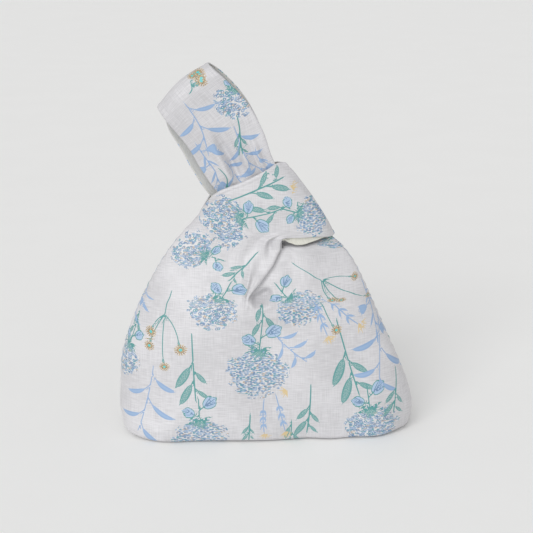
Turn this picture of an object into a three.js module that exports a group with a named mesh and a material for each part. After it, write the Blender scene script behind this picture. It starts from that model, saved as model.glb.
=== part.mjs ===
// Knot bag: a soft handbag of figured cloth, closed by drawing its long handle loop through its short one.
// Millimetres, +Z up. X runs from left to right across the front and Y from the front to the back.
// The origin is the middle of the flat base.
//
// Two outer panels, each cut in one with half of both handles, meet at the side seams, the bottom seam
// and a seam at the end of each handle. A plain lining shows inside the two handle loops.

import * as THREE from "three";

// Driving dimensions
const CLOTH = 1.4; // the figured cloth with its interlining
const LINING = 1.0;
const SEAM_GAP = 0.3; // between two pieces that are sewn or pressed together
const LINING_GAP = 0.55; // between the cloth and its lining, which come closer than this where they bend
const MOUTH_HEIGHT = 165; // where the two handles part from the body
const BASE_ROUND = 7; // radius of the soft bottom edge
const BASE_TUCK = 6; // how far the bottom seam stops short of each end of the base
const BACK_FOLD_SHARE = 0.6; // the folds at the back are this much of the front's

// Mesh density
const BODY_COLUMNS = 30;
const COLLAR_COLUMNS = 19; // those that rise into the short handle; the rest rise into the long one
const BASE_ROWS = 4;
const ROUND_ROWS = 3;
const WALL_ROWS = 15;
const SECTION_SAMPLES = 160;

// Level sections of the filled body. square is 1 for an ellipse and less for a boxier outline.
const BODY_SECTIONS = [
  { height: 0, left: -127, right: 127, depth: 42.5, square: 0.56 },
  { height: 18, left: -129.4, right: 129.5, depth: 44, square: 0.6 },
  { height: 40, left: -129.2, right: 125, depth: 44, square: 0.66 },
  { height: 66, left: -127.6, right: 114.6, depth: 42, square: 0.74 },
  { height: 92, left: -120, right: 103, depth: 37, square: 0.82 },
  { height: 118, left: -109.3, right: 91.7, depth: 30, square: 0.9 },
  { height: 142, left: -97, right: 81, depth: 21.5, square: 0.96 },
  { height: 165, left: -84.4, right: 68.5, depth: 13, square: 1 },
];

// The short handle, bent over to the right as a flat collar: its outer edge and its neckline edge, from the
// mouth to the fold at its end. depth is how far the outer surface stands forward of the side seams.
const COLLAR_OUTER = [
  { along: 0, x: -84.4, z: 165, depth: 0 },
  { along: 0.13, x: -74, z: 177, depth: 0 },
  { along: 0.285, x: -60, z: 190.5, depth: 0 },
  { along: 0.49, x: -44.5, z: 212, depth: 10.4 },
  { along: 0.74, x: -18, z: 223.5, depth: 9.4 },
  { along: 0.9, x: 2.5, z: 232.8, depth: 9.4 },
  { along: 1, x: 15.5, z: 237.3, depth: 10 },
];
const COLLAR_NECK = [
  { along: 0, x: 12.4, z: 165, depth: 16.5 },
  { along: 0.1, x: 14, z: 172, depth: 17 },
  { along: 0.2, x: 17.5, z: 175, depth: 17.2 },
  { along: 0.49, x: 30.5, z: 176, depth: 16.5 },
  { along: 0.74, x: 45, z: 176.2, depth: 14 },
  { along: 1, x: 58.3, z: 174.8, depth: 10 },
];
const COLLAR_BULGE = { start: 0.6, x: 2.6, z: 1.7 }; // its end bows out by this much at the middle
const COLLAR_SEAM_END = 0.285; // the side seam runs up the collar's outer edge as far as this
const COLLAR_FOLD_START = 0.84; // from here the collar turns round to the back
const COLLAR_EASE = 0.4; // the mouth's own shape has eased into the strap's by here
const COLLAR_ROWS = [0.09, 0.19, 0.285, 0.39, 0.49, 0.58, 0.66, 0.74, 0.8, 0.84, 0.88, 0.92, 0.96, 1];

// The long handle, drawn through the collar and up to the left as a wrist loop. crown is the depth of its
// middle and the rims that of its two edges. The slips move the back half's two edges to the left, so that the
// lining shows at the left; a slip below 0 moves its edge to the right.
const WRIST_LEFT = [
  { along: 0, x: 17.5, z: 165 },
  { along: 0.13, x: -2, z: 177 },
  { along: 0.31, x: -27, z: 197 },
  { along: 0.475, x: -42.5, z: 213 },
  { along: 0.62, x: -55.5, z: 233 },
  { along: 0.76, x: -66.5, z: 253 },
  { along: 0.9, x: -81.5, z: 271.5 },
  { along: 1, x: -91.8, z: 285 },
];
const WRIST_RIGHT = [
  { along: 0, x: 68.5, z: 165 },
  { along: 0.13, x: 49.5, z: 177 },
  { along: 0.31, x: 27.5, z: 206 },
  { along: 0.475, x: 6.5, z: 239 },
  { along: 0.62, x: -2.5, z: 264.5 },
  { along: 0.76, x: -16, z: 289.5 },
  { along: 0.9, x: -35, z: 310 },
  { along: 1, x: -48.5, z: 321.5 },
];
const WRIST_DEPTH = [
  { along: 0, crown: 9, leftRim: 8, rightRim: 2, slipLeft: 0, slipRight: 0 },
  { along: 0.13, crown: 6.2, leftRim: 5, rightRim: 2.5, slipLeft: 0, slipRight: 0 },
  { along: 0.31, crown: 5.2, leftRim: 3.7, rightRim: 3.7, slipLeft: 4, slipRight: 4 },
  { along: 0.475, crown: 5.3, leftRim: 3.7, rightRim: 3.4, slipLeft: 8, slipRight: 7 },
  { along: 0.6, crown: 11, leftRim: 8, rightRim: 9.5, slipLeft: 8.5, slipRight: 4 },
  { along: 0.76, crown: 13.5, leftRim: 12, rightRim: 12, slipLeft: 8.5, slipRight: -2.5 },
  { along: 0.86, crown: 13.5, leftRim: 12.3, rightRim: 12.3, slipLeft: 6.5, slipRight: -3 },
  { along: 0.95, crown: 13.5, leftRim: 12.5, rightRim: 12.5, slipLeft: 1, slipRight: -1 },
  { along: 1, crown: 13.5, leftRim: 12.5, rightRim: 12.5, slipLeft: 0, slipRight: 0 },
];
const WRIST_BULGE = { start: 0.78, x: -2.8, z: 3.2 }; // its end bows out by this much at the middle
const WRIST_FOLD_START = 0.9;
const WRIST_EASE = 0.2;
const WRIST_ROWS = [
  0.07, 0.13, 0.19, 0.25, 0.31, 0.365, 0.42, 0.475, 0.52, 0.565, 0.61, 0.66, 0.71, 0.76, 0.81, 0.86,
  0.9, 0.925, 0.95, 0.975, 1,
];

// Soft ridges, and troughs where height is below 0, on the front: each runs from one end to the other in
// the front view and is spread over two unlike widths. It keeps its height for the share in hold, then fades.
// The first three are the pleat below the gathered neck, the groove beside it and the hollow at its lower end.
const BODY_FOLDS = [
  { fromX: 0, fromZ: 168, toX: -19, toZ: 119, height: 7, leftWidth: 13, rightWidth: 13, hold: 0.45 },
  { fromX: 21, fromZ: 168, toX: -2, toZ: 127, height: -4, leftWidth: 7, rightWidth: 13, hold: 0.3 },
  { fromX: -10, fromZ: 130, toX: 5, toZ: 122, height: -3, leftWidth: 7, rightWidth: 6, hold: 0.3 },
  { fromX: -40, fromZ: 160, toX: -92, toZ: 122, height: -2.4, leftWidth: 16, rightWidth: 16, hold: 0 },
  { fromX: 34, fromZ: 158, toX: 62, toZ: 108, height: 1.8, leftWidth: 14, rightWidth: 14, hold: 0 },
  { fromX: -98, fromZ: 20, toX: -96, toZ: 95, height: -1.8, leftWidth: 12, rightWidth: 12, hold: 0 },
];
const FOLD_ONSET = 6; // how fast a fold rises before its first end
// Lengthwise folds of the wrist loop where the collar squeezes it; place is across the strap, 0 to 1.
const WRIST_FOLDS = [
  { place: 0.42, spread: 0.11, height: -2.6, start: 0.47, peak: 0.52, end: 0.72 },
  { place: 0.68, spread: 0.09, height: 1.6, start: 0.47, peak: 0.53, end: 0.68 },
];

// How much of the lining shows
const COLLAR_LINING_START = 0.38;
const COLLAR_LINING_PEEP = 5; // it hangs this far below the neckline edge near the middle
const WRIST_LINING_START = 0.33;
const LINING_BARE = 1; // the strip of a handle's edge that the lining leaves bare
const LINING_INSET = 0.2; // the same at the other edge, as a share of the first column

const clamp01 = (t) => Math.min(1, Math.max(0, t));
const smooth = (t) => clamp01(t) ** 2 * (3 - 2 * clamp01(t));
const mix = (a, b, t) => a + (b - a) * t;

// The value of one column of a table at a place between its rows, on a smooth curve through them.
function lookUp(rows, key, column, at) {
  const last = rows.length - 1;
  let i = 0;
  while (i < last - 1 && at > rows[i + 1][key]) i += 1;
  const slope = (k) => {
    const a = rows[Math.max(0, k - 1)];
    const b = rows[Math.min(last, k + 1)];
    return (b[column] - a[column]) / (b[key] - a[key]);
  };
  const [from, to] = [rows[i], rows[i + 1]];
  const span = to[key] - from[key];
  const t = (at - from[key]) / span;
  const [t2, t3] = [t * t, t * t * t];
  return (
    (2 * t3 - 3 * t2 + 1) * from[column] +
    (t3 - 2 * t2 + t) * span * slope(i) +
    (3 * t2 - 2 * t3) * to[column] +
    (t3 - t2) * span * slope(i + 1)
  );
}

const onEdge = (rows, along) => ({
  x: lookUp(rows, "along", "x", along),
  z: lookUp(rows, "along", "z", along),
});

// How far the folds push the body's surface forward at a place in the front view.
function bodyFoldAt(x, z) {
  let push = 0;
  for (const fold of BODY_FOLDS) {
    const [dx, dz] = [fold.toX - fold.fromX, fold.toZ - fold.fromZ];
    const length = Math.hypot(dx, dz);
    const along = ((x - fold.fromX) * dx + (z - fold.fromZ) * dz) / length ** 2;
    const across = ((x - fold.fromX) * -dz + (z - fold.fromZ) * dx) / length;
    const width = across < 0 ? fold.leftWidth : fold.rightWidth;
    const fade = along < 0 ? smooth(1 + along * FOLD_ONSET) : 1 - smooth((along - fold.hold) / (1 - fold.hold));
    push += fold.height * fade * Math.exp(-((across / width) ** 2));
  }
  return push;
}

// Points of a half section from the left side seam round to the right one, evenly spaced along it.
function halfSection({ left, right, depth, square }) {
  const [middle, half] = [(left + right) / 2, (right - left) / 2];
  const dense = [];
  let length = 0;
  for (let i = 0; i <= SECTION_SAMPLES; i += 1) {
    const angle = Math.PI * (i / SECTION_SAMPLES - 0.5);
    const sine = Math.sin(angle);
    const x = middle + half * Math.sign(sine) * Math.abs(sine) ** square;
    const reach = depth * Math.max(0, Math.cos(angle)) ** square;
    if (i > 0) length += Math.hypot(x - dense[i - 1].x, reach - dense[i - 1].reach);
    dense.push({ x, reach, length });
  }
  const points = [];
  let k = 1;
  for (let i = 0; i <= BODY_COLUMNS; i += 1) {
    const wanted = (length * i) / BODY_COLUMNS;
    while (k < SECTION_SAMPLES && dense[k].length < wanted) k += 1;
    const [a, b] = [dense[k - 1], dense[k]];
    const t = clamp01((wanted - a.length) / (b.length - a.length));
    points.push({ x: mix(a.x, b.x, t), reach: mix(a.reach, b.reach, t) });
  }
  return points;
}

function sectionAt(height, inset, share) {
  const at = (column) => lookUp(BODY_SECTIONS, "height", column, height);
  return halfSection({
    left: at("left") + inset,
    right: at("right") - inset,
    depth: Math.max(0, (at("depth") - Math.min(inset, BASE_ROUND)) * share),
    square: at("square"),
  });
}

// The body's rows from the bottom seam, out along the base, round the bottom edge and up to the mouth.
function bodyRows(foldShare) {
  const rows = [];
  for (let i = 0; i < BASE_ROWS; i += 1) {
    const share = i / BASE_ROWS;
    const section = sectionAt(0, BASE_ROUND + BASE_TUCK * (1 - share), share);
    rows.push(section.map(({ x, reach }) => ({ x, reach, z: 0 })));
  }
  for (let i = 0; i < ROUND_ROWS; i += 1) {
    const angle = (Math.PI / 2) * (i / ROUND_ROWS);
    const z = BASE_ROUND * (1 - Math.cos(angle));
    const section = sectionAt(z, BASE_ROUND * (1 - Math.sin(angle)), 1);
    rows.push(section.map(({ x, reach }) => ({ x, reach, z })));
  }
  for (let i = 0; i <= WALL_ROWS; i += 1) {
    const z = mix(BASE_ROUND, MOUTH_HEIGHT, i / WALL_ROWS);
    rows.push(
      sectionAt(z, 0, 1).map(({ x, reach }, column) => {
        const atSeam = column === 0 || column === BODY_COLUMNS;
        return { x, reach: reach + (atSeam ? 0 : foldShare * bodyFoldAt(x, z)), z };
      }),
    );
  }
  return rows;
}

// Past its fold's start a strap turns round: how far along it lies, and what is left of its depth.
function turn(along, foldStart) {
  if (along <= foldStart) return { at: along, left: 1 };
  const angle = ((along - foldStart) / (1 - foldStart)) * (Math.PI / 2);
  return { at: mix(foldStart, 1, Math.sin(angle)), left: Math.cos(angle) };
}

// A point of the collar. across is 0 at its outer edge and 1 at the neckline.
function collarPoint(along, across) {
  const { at, left } = turn(along, COLLAR_FOLD_START);
  const [outer, neck] = [onEdge(COLLAR_OUTER, at), onEdge(COLLAR_NECK, at)];
  const outerDepth = Math.max(0, lookUp(COLLAR_OUTER, "along", "depth", at));
  const neckDepth = lookUp(COLLAR_NECK, "along", "depth", at);
  const swell = Math.sin((Math.PI / 2) * clamp01(across)) ** 0.6;
  const bow = Math.sin(Math.PI * clamp01(across)) * smooth((at - COLLAR_BULGE.start) / (1 - COLLAR_BULGE.start));
  return {
    x: mix(outer.x, neck.x, across) + COLLAR_BULGE.x * bow,
    z: mix(outer.z, neck.z, across) + COLLAR_BULGE.z * bow,
    reach: mix(outerDepth, neckDepth, swell) * left,
  };
}

// A point of the wrist loop's front half, or of its back half with that half's slip. across is 0 at the left.
function wristPoint(along, across, slipShare) {
  const { at, left } = turn(along, WRIST_FOLD_START);
  const [a, b] = [onEdge(WRIST_LEFT, at), onEdge(WRIST_RIGHT, at)];
  const depth = (column) => lookUp(WRIST_DEPTH, "along", column, at);
  const width = Math.hypot(b.x - a.x, b.z - a.z);
  const slip = (column) => (depth(column) * slipShare) / width;
  const place = mix(-slip("slipLeft"), 1 - slip("slipRight"), across);
  const middle = Math.sin(Math.PI * clamp01(across));
  const bow = middle * smooth((at - WRIST_BULGE.start) / (1 - WRIST_BULGE.start));
  const rim = mix(depth("leftRim"), depth("rightRim"), across);
  let reach = mix(rim, depth("crown"), middle ** 0.6);
  for (const fold of WRIST_FOLDS) {
    const rise = smooth((at - fold.start) / (fold.peak - fold.start));
    const fall = 1 - smooth((at - fold.peak) / (fold.end - fold.peak));
    reach += fold.height * rise * fall * Math.exp(-(((across - fold.place) / fold.spread) ** 2));
  }
  return {
    x: mix(a.x, b.x, place) + WRIST_BULGE.x * bow,
    z: mix(a.z, b.z, place) + WRIST_BULGE.z * bow,
    reach: reach * left,
  };
}

// A strap's rows above the mouth: they start with the shape of the mouth's own points and ease into the strap.
function strapRows(root, alongs, easeEnd, pointAt) {
  const last = root.length - 1;
  const [rootFirst, rootLast] = [root[0], root[last]];
  return alongs.map((along) => {
    const ease = smooth(along / easeEnd);
    const [first, end] = [pointAt(along, 0), pointAt(along, 1)];
    return root.map((start, i) => {
      const across = i / last;
      const strap = pointAt(along, across);
      const carried = {
        x: start.x + mix(first.x - rootFirst.x, end.x - rootLast.x, across),
        z: start.z + mix(first.z - rootFirst.z, end.z - rootLast.z, across),
        reach: start.reach + mix(first.reach - rootFirst.reach, end.reach - rootLast.reach, across),
      };
      return {
        x: mix(carried.x, strap.x, ease),
        z: mix(carried.z, strap.z, ease),
        reach: Math.max(0, mix(carried.reach, strap.reach, ease)),
      };
    });
  });
}

// The normals of a surface of quads at its points. At a seam they lie in the plane between the front and the
// back, so that the sheet's edge there is cut square to that plane.
function normalsOf({ points, quads, isSeam }) {
  const normals = points.map(() => new THREE.Vector3());
  for (const quad of quads) {
    const [a, b, c, d] = quad.map((i) => points[i]);
    const normal = c.clone().sub(a).cross(d.clone().sub(b));
    for (const i of quad) normals[i].add(normal);
  }
  return normals.map((normal, i) => (isSeam[i] ? normal.setY(0) : normal).normalize());
}

const behind = (point, normal, distance) => point.clone().addScaledVector(normal, -distance);

// A closed sheet whose outer face is a surface of quads and whose inner face lies a thickness behind it.
function sheetGeometry(surface, thickness) {
  const { points, quads } = surface;
  const normals = normalsOf(surface);
  const inner = points.map((point, i) => behind(point, normals[i], thickness));
  const count = points.length;
  const triangles = [];
  const openEdges = new Map();
  const addFace = (a, b, c, d) => triangles.push(a, b, c, a, c, d);
  for (const [a, b, c, d] of quads) {
    addFace(a, b, c, d);
    addFace(a + count, d + count, c + count, b + count);
    for (const [from, to] of [[a, b], [b, c], [c, d], [d, a]]) {
      if (!openEdges.delete(`${to},${from}`)) openEdges.set(`${from},${to}`, [from, to]);
    }
  }
  for (const [from, to] of openEdges.values()) addFace(to, from, from + count, to + count);
  const geometry = new THREE.BufferGeometry();
  const coordinates = [...points, ...inner].flatMap((point) => point.toArray());
  geometry.setAttribute("position", new THREE.Float32BufferAttribute(coordinates, 3));
  geometry.setIndex(triangles);
  geometry.computeVertexNormals();
  return geometry;
}

// The outer surface of one panel, cut in one with its halves of both handles. side is -1 for the front and 1 for
// the back. collar and wrist hold the indices of the two handles' points, a list for each row.
function panelSurface(side) {
  const surface = { points: [], isSeam: [], quads: [], collar: [], wrist: [] };
  const addRow = (row, seamAt) =>
    row.map(({ x, z, reach }, column) => {
      surface.isSeam.push(seamAt(column));
      return surface.points.push(new THREE.Vector3(x, side * (reach + SEAM_GAP / 2), z)) - 1;
    });
  const join = (lower, upper) => {
    for (let i = 0; i + 1 < lower.length; i += 1) {
      const quad = [lower[i], lower[i + 1], upper[i + 1], upper[i]];
      surface.quads.push(side < 0 ? quad : quad.reverse());
    }
  };
  const addStrap = (root, rows, seamAt) => {
    const added = rows.map((row, k) => addRow(row, (column) => seamAt(k, column)));
    [root, ...added].slice(0, -1).forEach((below, k) => join(below, added[k]));
    return added;
  };

  const rows = bodyRows(side < 0 ? 1 : BACK_FOLD_SHARE);
  const atSide = (column) => column === 0 || column === BODY_COLUMNS;
  const indices = rows.map((row, k) => addRow(row, (column) => k === 0 || atSide(column)));
  indices.slice(1).forEach((upper, k) => join(indices[k], upper));

  const mouth = rows.at(-1);
  const mouthIndices = indices.at(-1);
  const split = COLLAR_COLUMNS + 1;
  const collar = strapRows(mouth.slice(0, split), COLLAR_ROWS, COLLAR_EASE, collarPoint);
  surface.collar = addStrap(mouthIndices.slice(0, split), collar, (k, column) => {
    const onSideSeam = column === 0 && COLLAR_ROWS[k] <= COLLAR_SEAM_END;
    return onSideSeam || COLLAR_ROWS[k] === 1;
  });
  const wristAt = (along, across) => wristPoint(along, across, side < 0 ? 0 : 1);
  const wrist = strapRows(mouth.slice(split), WRIST_ROWS, WRIST_EASE, wristAt);
  surface.wrist = addStrap(mouthIndices.slice(split), wrist, (k) => WRIST_ROWS[k] === 1);
  return surface;
}

// A lining strip inside a handle loop, from its front half over the fold to its back half, parallel to the two
// panels. reachAt(side, along) gives how far past the handle's last column of points it goes, in millimetres.
function liningSurface(panels, handle, alongs, start, reachAt) {
  const strip = { points: [], isSeam: [], quads: [] };
  const halfRows = (side, panel) => {
    const normals = normalsOf(panel);
    const rows = panel[handle].map((row) =>
      row.map((i) => behind(panel.points[i], normals[i], CLOTH + LINING_GAP)),
    );
    rows.forEach((row, k) => {
      const last = row.length - 1;
      const outward = row[last].clone().sub(row[last - 1]);
      const edge = row[last].clone().addScaledVector(outward.normalize(), reachAt(side, alongs[k]));
      row[0] = row[0].clone().lerp(row[1], LINING_INSET);
      row[last] = edge;
    });
    return rows.filter((row, k) => alongs[k] >= start);
  };
  const front = halfRows(-1, panels.front);
  const back = halfRows(1, panels.back);
  front.at(-1).forEach((point) => point.setY(0));
  const rows = [...front, ...back.slice(0, -1).reverse()];
  const columns = rows[0].length;
  rows.forEach((row, k) => {
    strip.points.push(...row);
    if (k === 0) return;
    for (let i = 0; i + 1 < columns; i += 1) {
      const [lower, upper] = [(k - 1) * columns + i, k * columns + i];
      strip.quads.push([lower, lower + 1, upper + 1, upper]);
    }
  });
  return strip;
}

// The collar's lining hangs a little below the neckline at the front and stays short of it at the back.
function collarLiningReach(side, along) {
  if (side > 0) return -LINING_BARE;
  const shown = clamp01((along - COLLAR_LINING_START) / (1 - COLLAR_LINING_START));
  return COLLAR_LINING_PEEP * Math.sin(Math.PI * shown) - LINING_BARE * (1 - Math.sin(Math.PI * shown));
}

const figuredCloth = () => new THREE.MeshStandardMaterial({ color: 0xd9dbe2, roughness: 0.5, metalness: 0 });
const plainLining = () => new THREE.MeshStandardMaterial({ color: 0xdcdad2, roughness: 0.6, metalness: 0 });

const bag = new THREE.Group();
const addPiece = (name, surface, thickness, material) => {
  const mesh = new THREE.Mesh(sheetGeometry(surface, thickness), material);
  mesh.name = name;
  bag.add(mesh);
};

const panels = { front: panelSurface(-1), back: panelSurface(1) };
const collarLining = liningSurface(panels, "collar", COLLAR_ROWS, COLLAR_LINING_START, collarLiningReach);
const wristLining = liningSurface(panels, "wrist", WRIST_ROWS, WRIST_LINING_START, () => -LINING_BARE);

addPiece("front_panel", panels.front, CLOTH, figuredCloth());
addPiece("back_panel", panels.back, CLOTH, figuredCloth());
addPiece("collar_lining", collarLining, LINING, plainLining());
addPiece("wrist_lining", wristLining, LINING, plainLining());

export default bag;
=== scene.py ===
"""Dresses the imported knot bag: figured satin panels, plain linings, a pale floor, soft light and the camera.

The tables give millimetres in the part's frame, with X to the right, Y to the back and Z up from the middle
of the base. The flat cloth has its own millimetres, u across and v along, in which the woven figures lie.
"""

import math

import bpy
import numpy as np
from bpy.props import FloatProperty, FloatVectorProperty, PointerProperty
from bpy.types import Operator, Panel, PropertyGroup
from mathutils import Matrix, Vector


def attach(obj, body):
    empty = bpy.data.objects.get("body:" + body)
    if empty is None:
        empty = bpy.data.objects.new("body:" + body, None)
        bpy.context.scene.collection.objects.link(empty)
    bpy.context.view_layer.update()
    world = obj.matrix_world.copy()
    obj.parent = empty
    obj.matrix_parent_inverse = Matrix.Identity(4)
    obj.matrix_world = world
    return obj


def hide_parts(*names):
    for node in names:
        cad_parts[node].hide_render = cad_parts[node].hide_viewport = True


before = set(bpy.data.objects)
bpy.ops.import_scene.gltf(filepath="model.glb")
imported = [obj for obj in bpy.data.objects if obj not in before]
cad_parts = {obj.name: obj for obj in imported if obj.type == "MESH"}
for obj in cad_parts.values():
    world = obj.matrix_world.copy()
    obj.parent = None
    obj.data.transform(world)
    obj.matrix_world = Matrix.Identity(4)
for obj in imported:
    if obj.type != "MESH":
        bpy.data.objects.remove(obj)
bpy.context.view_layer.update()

bl_info = {
    "name": "Knot bag",
    "version": (1, 0, 0),
    "blender": (4, 5, 0),
    "location": "View3D > Sidebar > Knot bag",
    "description": "Builds the cloth of a knot bag on its packed frame, with its floor, light and camera",
    "category": "Object",
}

MM = 0.001
FRONT, BACK = -1, 1
SEAM_HALF_GAP = 0.15
MOUTH_HEIGHT = 165.0
BASE_ROUND = 4.0
BASE_TUCK = 6.0  # how far the base's two ends are drawn in at the bottom seam
BACK_FOLD_SHARE = 0.6
UV_SPAN = 500.0  # millimetres of cloth in one unit of the UV map
WRIST_FLAT_PLACE = 300.0  # u of the wrist loop's middle, clear of the body's cloth
TINY = 1e-9

# Mesh density; the body's columns lie closer together round the pleat
BODY_COLUMNS = 200
COLLAR_LAST_COLUMN = 134
WRIST_FIRST_COLUMN = 137
COLUMN_SHARES = np.interp(
    np.arange(BODY_COLUMNS + 1),
    (0, 70, 124, COLLAR_LAST_COLUMN, WRIST_FIRST_COLUMN, BODY_COLUMNS),
    (0, 0.4, 0.6, 0.6333, 0.65, 1),
)
BASE_ROWS = 16
ROUND_ROWS = 7
WALL_ROWS = 108
COLLAR_ROWS = 64
WRIST_ROWS = 116
SECTION_SAMPLES = 800


def table(columns, rows):
    """A table as one array for each named column."""
    return dict(zip(columns.split(), np.array(rows, float).T))


# Level sections of the filled body; square is 1 for an ellipse and less for a boxier outline.
SECTION_COLUMNS = ("left", "right", "depth", "square")
BODY_SECTIONS = table("height left right depth square", [
    (0, -127, 127, 42.5, 0.56),
    (18, -129.4, 129.5, 44, 0.6),
    (40, -129.2, 125, 44, 0.66),
    (66, -127.6, 114.6, 42, 0.74),
    (92, -120, 103, 37, 0.82),
    (118, -109.3, 91.7, 30, 0.9),
    (142, -97, 81, 21.5, 0.96),
    (165, -84.4, 68.5, 13, 1),
])

# The short handle, bent over to the right as a collar, from the mouth to the fold at its end.
COLLAR_OUTER = table("along x z depth", [
    (0, -84.4, 165, 0),
    (0.13, -74, 177, 0),
    (0.285, -60, 190.5, 0),
    (0.49, -44.5, 212, 10.4),
    (0.74, -18, 223.5, 9.4),
    (0.9, 2, 233.6, 8.2),
    (0.95, 8.5, 237.4, 5),
    (1, 16, 237.3, 3),
])
COLLAR_NECK = table("along x z depth", [
    (0, 12.4, 165, 17),
    (0.05, 12.2, 169.5, 18),
    (0.1, 13.6, 173, 18.6),
    (0.2, 17.5, 175.2, 19),
    (0.49, 30.5, 176, 18.4),
    (0.74, 45, 176.2, 15.5),
    (1, 58.3, 174.8, 10),
])
COLLAR_BULGE_START, COLLAR_BULGE_X, COLLAR_BULGE_Z = 0.6, 2.6, 1.7
COLLAR_SEAM_END = 0.285
COLLAR_FOLD_START = 0.84
COLLAR_EASE = 0.4

# The long handle, drawn through the collar and up to the left as the wrist loop. The slips move the back
# half's two edges to the left, so that the lining shows at the left; one below 0 moves its edge to the right.
WRIST_LEFT = table("along x z", [
    (0, 15, 165),
    (0.13, -3, 177),
    (0.31, -27, 197),
    (0.475, -42.5, 213),
    (0.62, -55.5, 233),
    (0.76, -66.5, 253),
    (0.9, -81.5, 271.5),
    (1, -91.8, 285),
])
WRIST_RIGHT = table("along x z", [
    (0, 68.5, 165),
    (0.13, 49.5, 177),
    (0.31, 27.5, 206),
    (0.475, 6.5, 239),
    (0.62, -2.5, 264.5),
    (0.76, -16, 289.5),
    (0.9, -35, 310),
    (1, -48.5, 321.5),
])
WRIST_DEPTH = table("along crown left_rim right_rim slip_left slip_right", [
    (0, 9, 10.2, 2, 0, 0),
    (0.06, 8.5, 10.6, 2.2, 0, 0),
    (0.13, 6.2, 5.4, 2.5, 0, 0),
    (0.31, 5.2, 3.7, 3.7, 4, 4),
    (0.475, 5.6, 3.9, 3.5, 8, 6),
    (0.6, 8.4, 6.2, 6.8, 8.5, 2),
    (0.76, 10.4, 9, 9, 8.5, 0.4),
    (0.86, 11.4, 10, 10, 6.5, -0.4),
    (0.95, 12.2, 11, 11, 1, -0.4),
    (1, 12.2, 11, 11, 0, 0),
])
WRIST_BULGE_START, WRIST_BULGE_X, WRIST_BULGE_Z = 0.78, -2.8, 3.2
WRIST_FOLD_START = 0.9
WRIST_EASE = 0.2
STRAP_SWELL = 0.6  # power of the swell across a strap; below 1 it rises soon from the edge

# The body eases into the handles over this height each side of the mouth, away from the gathered neck.
MOUTH_EASE = 17.0
MOUTH_EASE_ROWS = 30
MOUTH_EASE_ROUNDS = 110
COLLAR_LOOSE = table("x share", [(-30, 1), (-10, 0.3), (6, 0)])
WRIST_LOOSE = table("x share", [(20, 0), (40, 1), (60, 1), (70, 0.3)])
COLLAR_FLAT_EASE = 0.3  # share of the collar in which its flat places leave the body's

# The pleat below the neck lies over to the right: its ridge line, with a width and a height share at each
# level, and its profile across, the shift to the right and the rise at offsets from the ridge.
PLEAT_LINE = table("height x width rise", [
    (114, -19, 0.24, 0),
    (125, -18, 0.28, 0.4),
    (131, -16.6, 0.42, 0.8),
    (138, -14.4, 0.68, 1),
    (148, -11, 0.96, 1),
    (157, -7, 1.0, 1),
    (165, -1.5, 0.92, 1),
])
PLEAT_PROFILE = table("offset shift rise", [
    (-18, 0, 0),
    (-10, 0, 1.4),
    (-4.5, 0.1, 5),
    (-1.5, 0.3, 6.5),
    (1.8, 0.8, 3),
    (5.4, 2.2, 5.8),
    (8, 4.2, 5.6),
    (9.6, 5.1, 4.2),
    (11, 3.6, 2.2),
    (12.6, 1, 0),
    (16, 0, -1.6),
    (22, 0, -1),
    (30, 0, 0),
])

# Soft ridges, and troughs where height is below 0, each from one end to the other in the front view, with a
# width to each side. A fold keeps its height for the share in hold, then fades.
BODY_FOLDS = [
    # from x, from z, to x, to z, height, left width, right width, hold
    (-10, 123, 6, 131, -8.5, 4.4, 4.4, 0.6),
    (-15, 121, -5, 116.4, 2.6, 3.2, 3, 0.8),
    (-5, 116.4, 10, 122, 2.6, 3, 3.2, 0.5),
    (-4, 174, -26, 132, -2.6, 7, 4.5, 0.35),
    (5, 169, -11, 144, -3.2, 3, 3.4, 0.75),
    (-20, 112, 36, 108, 2, 13, 12, 0.6),
    (4, 98, 10, 10, -4.5, 26, 22, 0.75),
    (-40, 160, -92, 122, -3.4, 15, 15, 0),
    (-24, 150, -66, 104, 2.4, 11, 13, 0.1),
    (34, 158, 62, 108, 2.4, 13, 13, 0),
    (20, 152, 34, 120, -1.8, 9, 9, 0.1),
    (-98, 20, -96, 95, -2.6, 11, 11, 0),
    (-60, 20, -40, 66, 1.6, 20, 20, 0.2),
    (60, 14, 74, 84, -1.8, 16, 16, 0.2),
    (98, 22, 92, 78, 1.8, 11, 11, 0.1),
]
FOLD_ONSET = 6.0  # a fold rises over one part in six of its length, before its first end

# The groove in the front where its cloth goes in below the collar's lining; rows as above
NECK_GROOVE = [
    (14, 168.2, 34, 169.4, -10, 1.7, 3, 0.9),
    (34, 169.4, 56, 174, -8, 1.6, 3, 0.4),
]

# The uneven bottom edge: how far it swells to the front and how far it stands off the surface below
BASE_EDGE = table("x push lift", [
    (-127, 0, 3.2),
    (-114, 6, 1.9),
    (-98, 9, 0.7),
    (-82, 8.5, 0.5),
    (-62, 5, 0.7),
    (-42, 4.4, 1.2),
    (-20, 4, 1.1),
    (0, 3, 1),
    (20, 0, 0.8),
    (36, -2, 1.1),
    (56, -0.6, 0.7),
    (76, -2.6, 0.9),
    (98, -1.4, 0.8),
    (116, -6, 2.4),
    (127, -6, 3.4),
])
BASE_EDGE_HEIGHT = 30.0
BASE_LIFT_START = 0.75  # share of the base's depth from which it lifts
SEAM_HOLD = 0.047  # share of the girth over which a side seam holds the folds back

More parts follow.
